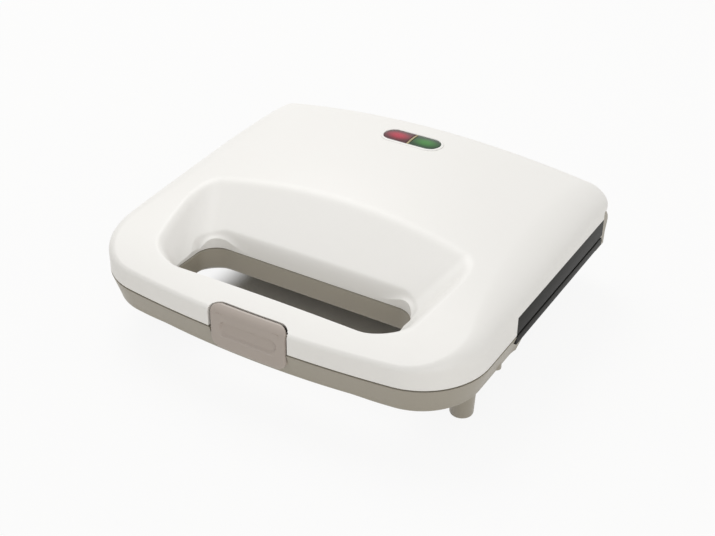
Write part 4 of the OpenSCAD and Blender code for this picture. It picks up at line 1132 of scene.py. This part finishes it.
# Cream acrylic bar between the lenses.
cream = moulded("cream_acrylic_bar", "#B0A47A", "#A3976C", 5, (0.2, 0.3), 1.0, 0.01,
                **{"IOR": 1.49})
finished("light_bar", cut_and_joined(
    solid_box(-0.6, 0.6, WINDOW[1] - 7.0, WINDOW[1] + 7.0, LENS_LOW, LENS_TOP - 0.05),
    ("-", turned([(40, -3), (41, -3), (41, 3), (40, 3), (40, -3)],
                 (0, WINDOW[1], LENS_TOP - 40.05), "X", 96))),
         "lid", cream, ["indicator_light_bar"])
rim_rows = [np.column_stack([pill(g), np.full(2 * PILL_STEPS, WINDOW_Z + z)]) for g, z in
            ((0.05, -3.6), (0.05, 0.12), (0.25, 0.36), (0.8, 0.4), (1.3, 0.33), (1.6, 0.12),
             (1.7, -0.2), (1.7, -3.6))]
finished("window_rim", ring_solid(rim_rows), "lid", white_abs, ["indicator_bezel"])
dressed("lamp_holder", "lid", dark_phenolic)
# Thin glass bulbs filled with neon, faintly orange and clear.
bulb_glass, tree, place = empty("neon_lamp_glass")
swirl = add(tree, "TexNoise", {"Vector": place, "Scale": 1000 / 3, "Detail": 2.0})
tint = add(tree, "Mix", {0: swirl.outputs[0], 6: linear("#F2B79A"), 7: linear("#E89A78")},
           data_type="RGBA")
gloss = add(tree, "MapRange", {"Value": swirl.outputs[0], "To Min": 0.03, "To Max": 0.09})
shader = add(tree, "BsdfPrincipled",
             {"Base Color": tint.outputs[2], "Roughness": gloss.outputs[0], "IOR": 1.47,
              "Transmission Weight": 0.6})
add(tree, "OutputMaterial", {"Surface": shader.outputs[0]})
lamp_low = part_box("neon_lamps")[0][2] / MM
bulbs = []
for side in (-8, 8):
    profile = [(2.2, lamp_low), (2.6, lamp_low + 0.4), (2.6, lamp_low + 4)] + [
        (2.6 * math.cos(a), lamp_low + 4 + 2.6 * math.sin(a))
        for a in np.linspace(0.15, math.pi / 2, 10)]
    bulbs.append(turned(profile, (side, WINDOW[1], 0), "Z", 40))
finished("neon_bulbs", cut_and_joined(bulbs[0], ("+", bulbs[1])), "lid", bulb_glass,
         ["neon_lamps"])

# ---------------------------------------------------------------- latch pin and spring
# A ground steel pin runs through the latch's arms and the lid's ribs. A spring of plated wire is
# wound on it and swings the latch back.
finished("latch_pivot_pin", rod(PIN_R, 27.7, LATCH_Y, PIN_Z, 0.3), "lid", nickel,
         ["latch_pin"])
coil = [(-6 + 0.45 + 11.1 * k / 400, LATCH_Y + 2.1 * math.cos(k * 0.172),
         PIN_Z + 2.1 * math.sin(k * 0.172))
        for k in range(401)]
finished("latch_return_spring", bar(coil, 0.4, nickel), "lid", nickel,
         ["latch_spring"], 60)

# ---------------------------------------------------------------- foot pads
# Soft moulded rubber buttons, pressed into seats in the four feet. Each is domed a little where it
# stands on the table.
pads = [turned([(3.6, 0.0), (4.4, 0.12), (4.85, 0.45), (5.0, 0.9), (5.0, 1.95)],
               (s * x, y, 0), "Z", 56)
        for x, y in ((FOOT_X, FOOT_Y), (REAR_FOOT_X, REAR_FOOT_Y)) for s in (-1, 1)]
finished("rubber_foot_pads", cut_and_joined(pads[0], *[("+", m) for m in pads[1:]]), "base",
         rubber, ["foot_pads"])

# ---------------------------------------------------------------- table
# A pale table top. Near the object it takes light and shadow; farther out, and to the camera, it
# runs out to white.


def seen_directly(tree):
    """A node that gives 1 to the camera and to what gloss and glass show, and 0 to other light."""
    ray = add(tree, "LightPath").outputs
    looks = add(tree, "Math", {0: ray["Is Camera Ray"], 1: ray["Is Glossy Ray"]},
                operation="MAXIMUM")
    return add(tree, "Math", {0: looks.outputs[0], 1: ray["Is Transmission Ray"]},
               operation="MAXIMUM")


table_paint, tree, place = empty("pale_table")
parts = add(tree, "SeparateXYZ", {"Vector": place})
moved = add(tree, "Math", {0: parts.outputs["Y"], 1: 0.032}, operation="SUBTRACT")
reach = [add(tree, "Math", {0: add(tree, "Math", {0: place_in}, operation="ABSOLUTE").outputs[0],
                            1: size}, operation="SUBTRACT").outputs[0]
         for place_in, size in ((parts.outputs["X"], 0.064), (moved.outputs[0], 0.052))]
out = [add(tree, "Math", {0: r, 1: 0.0}, operation="MAXIMUM").outputs[0] for r in reach]
far = add(tree, "VectorMath", {0: add(tree, "CombineXYZ", {"X": out[0], "Y": out[1]}).outputs[0]},
          operation="LENGTH")
open_air = add(tree, "MapRange",
               {"Value": far.outputs["Value"], "From Min": 0.004, "From Max": 0.032, "To Min": 0.0,
                "To Max": 0.9}, interpolation_type="SMOOTHSTEP")
looks = seen_directly(tree)
share = add(tree, "Math", {0: open_air.outputs[0], 1: looks.outputs[0]}, operation="MULTIPLY")
fine = add(tree, "TexNoise", {"Vector": place, "Scale": 1000 / 3, "Detail": 3.0})
tone = add(tree, "Mix", {0: fine.outputs[0], 6: linear("#DAD8D4"), 7: linear("#DEDCD8")},
           data_type="RGBA")
paint = add(tree, "BsdfPrincipled", {"Base Color": tone.outputs[2], "Roughness": 0.8})
glow = add(tree, "Emission", {"Color": (1, 1, 1, 1), "Strength": 1.0})
mixed = add(tree, "MixShader", {0: share.outputs[0], 1: paint.outputs[0], 2: glow.outputs[0]})
add(tree, "OutputMaterial", {"Surface": mixed.outputs[0]})
table_mesh = bpy.data.meshes.new("table")
TABLE_N = 7
grid = [(x, y, 0.0) for x in np.linspace(-3, 3, TABLE_N) for y in np.linspace(-3, 3, TABLE_N)]
table_mesh.from_pydata(grid, [],
                       [(k, k + TABLE_N, k + TABLE_N + 1, k + 1)
                        for k in range(TABLE_N * (TABLE_N - 1)) if (k + 1) % TABLE_N])
table_mesh.materials.append(table_paint)
table_top = bpy.data.objects.new("table", table_mesh)
bpy.context.scene.collection.objects.link(table_top)

# ---------------------------------------------------------------- light
# A broad soft lamp stands high on the left and behind, and a weaker one low in front on the right.
# An even white room fills the shadows.
def lamp(name, place, at, size, watts):
    light = bpy.data.lights.new(name, "AREA")
    light.shape, light.size, light.energy = "DISK", size, watts
    made = bpy.data.objects.new(name, light)
    way = Vector(place) - Vector(at)
    made.matrix_world = Matrix.Translation(place) @ way.to_track_quat("Z", "Y").to_matrix().to_4x4()
    bpy.context.scene.collection.objects.link(made)
    return made


lamp("key", (-0.65, 0.45, 1.3), (0, 0, 0.04), 1.0, 9.0)
lamp("fill", (1.3, -1.0, 0.5), (0, 0, 0.04), 1.0, 4.5)
room = bpy.data.worlds.new("white_room")
bpy.context.scene.world = room
room.use_nodes = True
tree = room.node_tree
tree.nodes.clear()
looks = seen_directly(tree)
plain = add(tree, "Background", {"Color": (1, 1, 1, 1), "Strength": 0.6})
white = add(tree, "Background", {"Color": (1, 1, 1, 1), "Strength": 1.0})
mixed = add(tree, "MixShader", {0: looks.outputs[0], 1: plain.outputs[0], 2: white.outputs[0]})
add(tree, "OutputWorld", {"Surface": mixed.outputs[0]})

# ---------------------------------------------------------------- camera
# The photograph's view: from the front right, about 32 degrees above the table, through a lens
# whose length was fitted to the object's outline.
camera = bpy.data.objects.new("camera", bpy.data.cameras.new("camera"))
bpy.context.scene.collection.objects.link(camera)
bpy.context.scene.camera = camera
PHOTO_W, FOCAL, FILM = 715, 1240.87, 36
AROUND, ABOVE, ROLL = math.radians(31.04), math.radians(31.63), math.radians(0.41)
LOOK_Z, STAND_OFF = 0.04, 0.7352
camera.data.sensor_width = FILM
camera.data.lens = FOCAL / PHOTO_W * FILM
camera.data.shift_x, camera.data.shift_y = 4.56 / PHOTO_W, -18.35 / PHOTO_W
away = Vector((math.sin(AROUND) * math.cos(ABOVE), -math.cos(AROUND) * math.cos(ABOVE),
               math.sin(ABOVE)))
right = Vector((math.cos(AROUND), math.sin(AROUND), 0))
up = away.cross(right)
right, up = (math.cos(ROLL) * right + math.sin(ROLL) * up,
             -math.sin(ROLL) * right + math.cos(ROLL) * up)
stand = Matrix((right, up, away)).transposed().to_4x4()
stand.translation = Vector((0, 0, LOOK_Z)) + away * STAND_OFF
camera.matrix_world = stand
bpy.context.scene.view_settings.view_transform = "Standard"
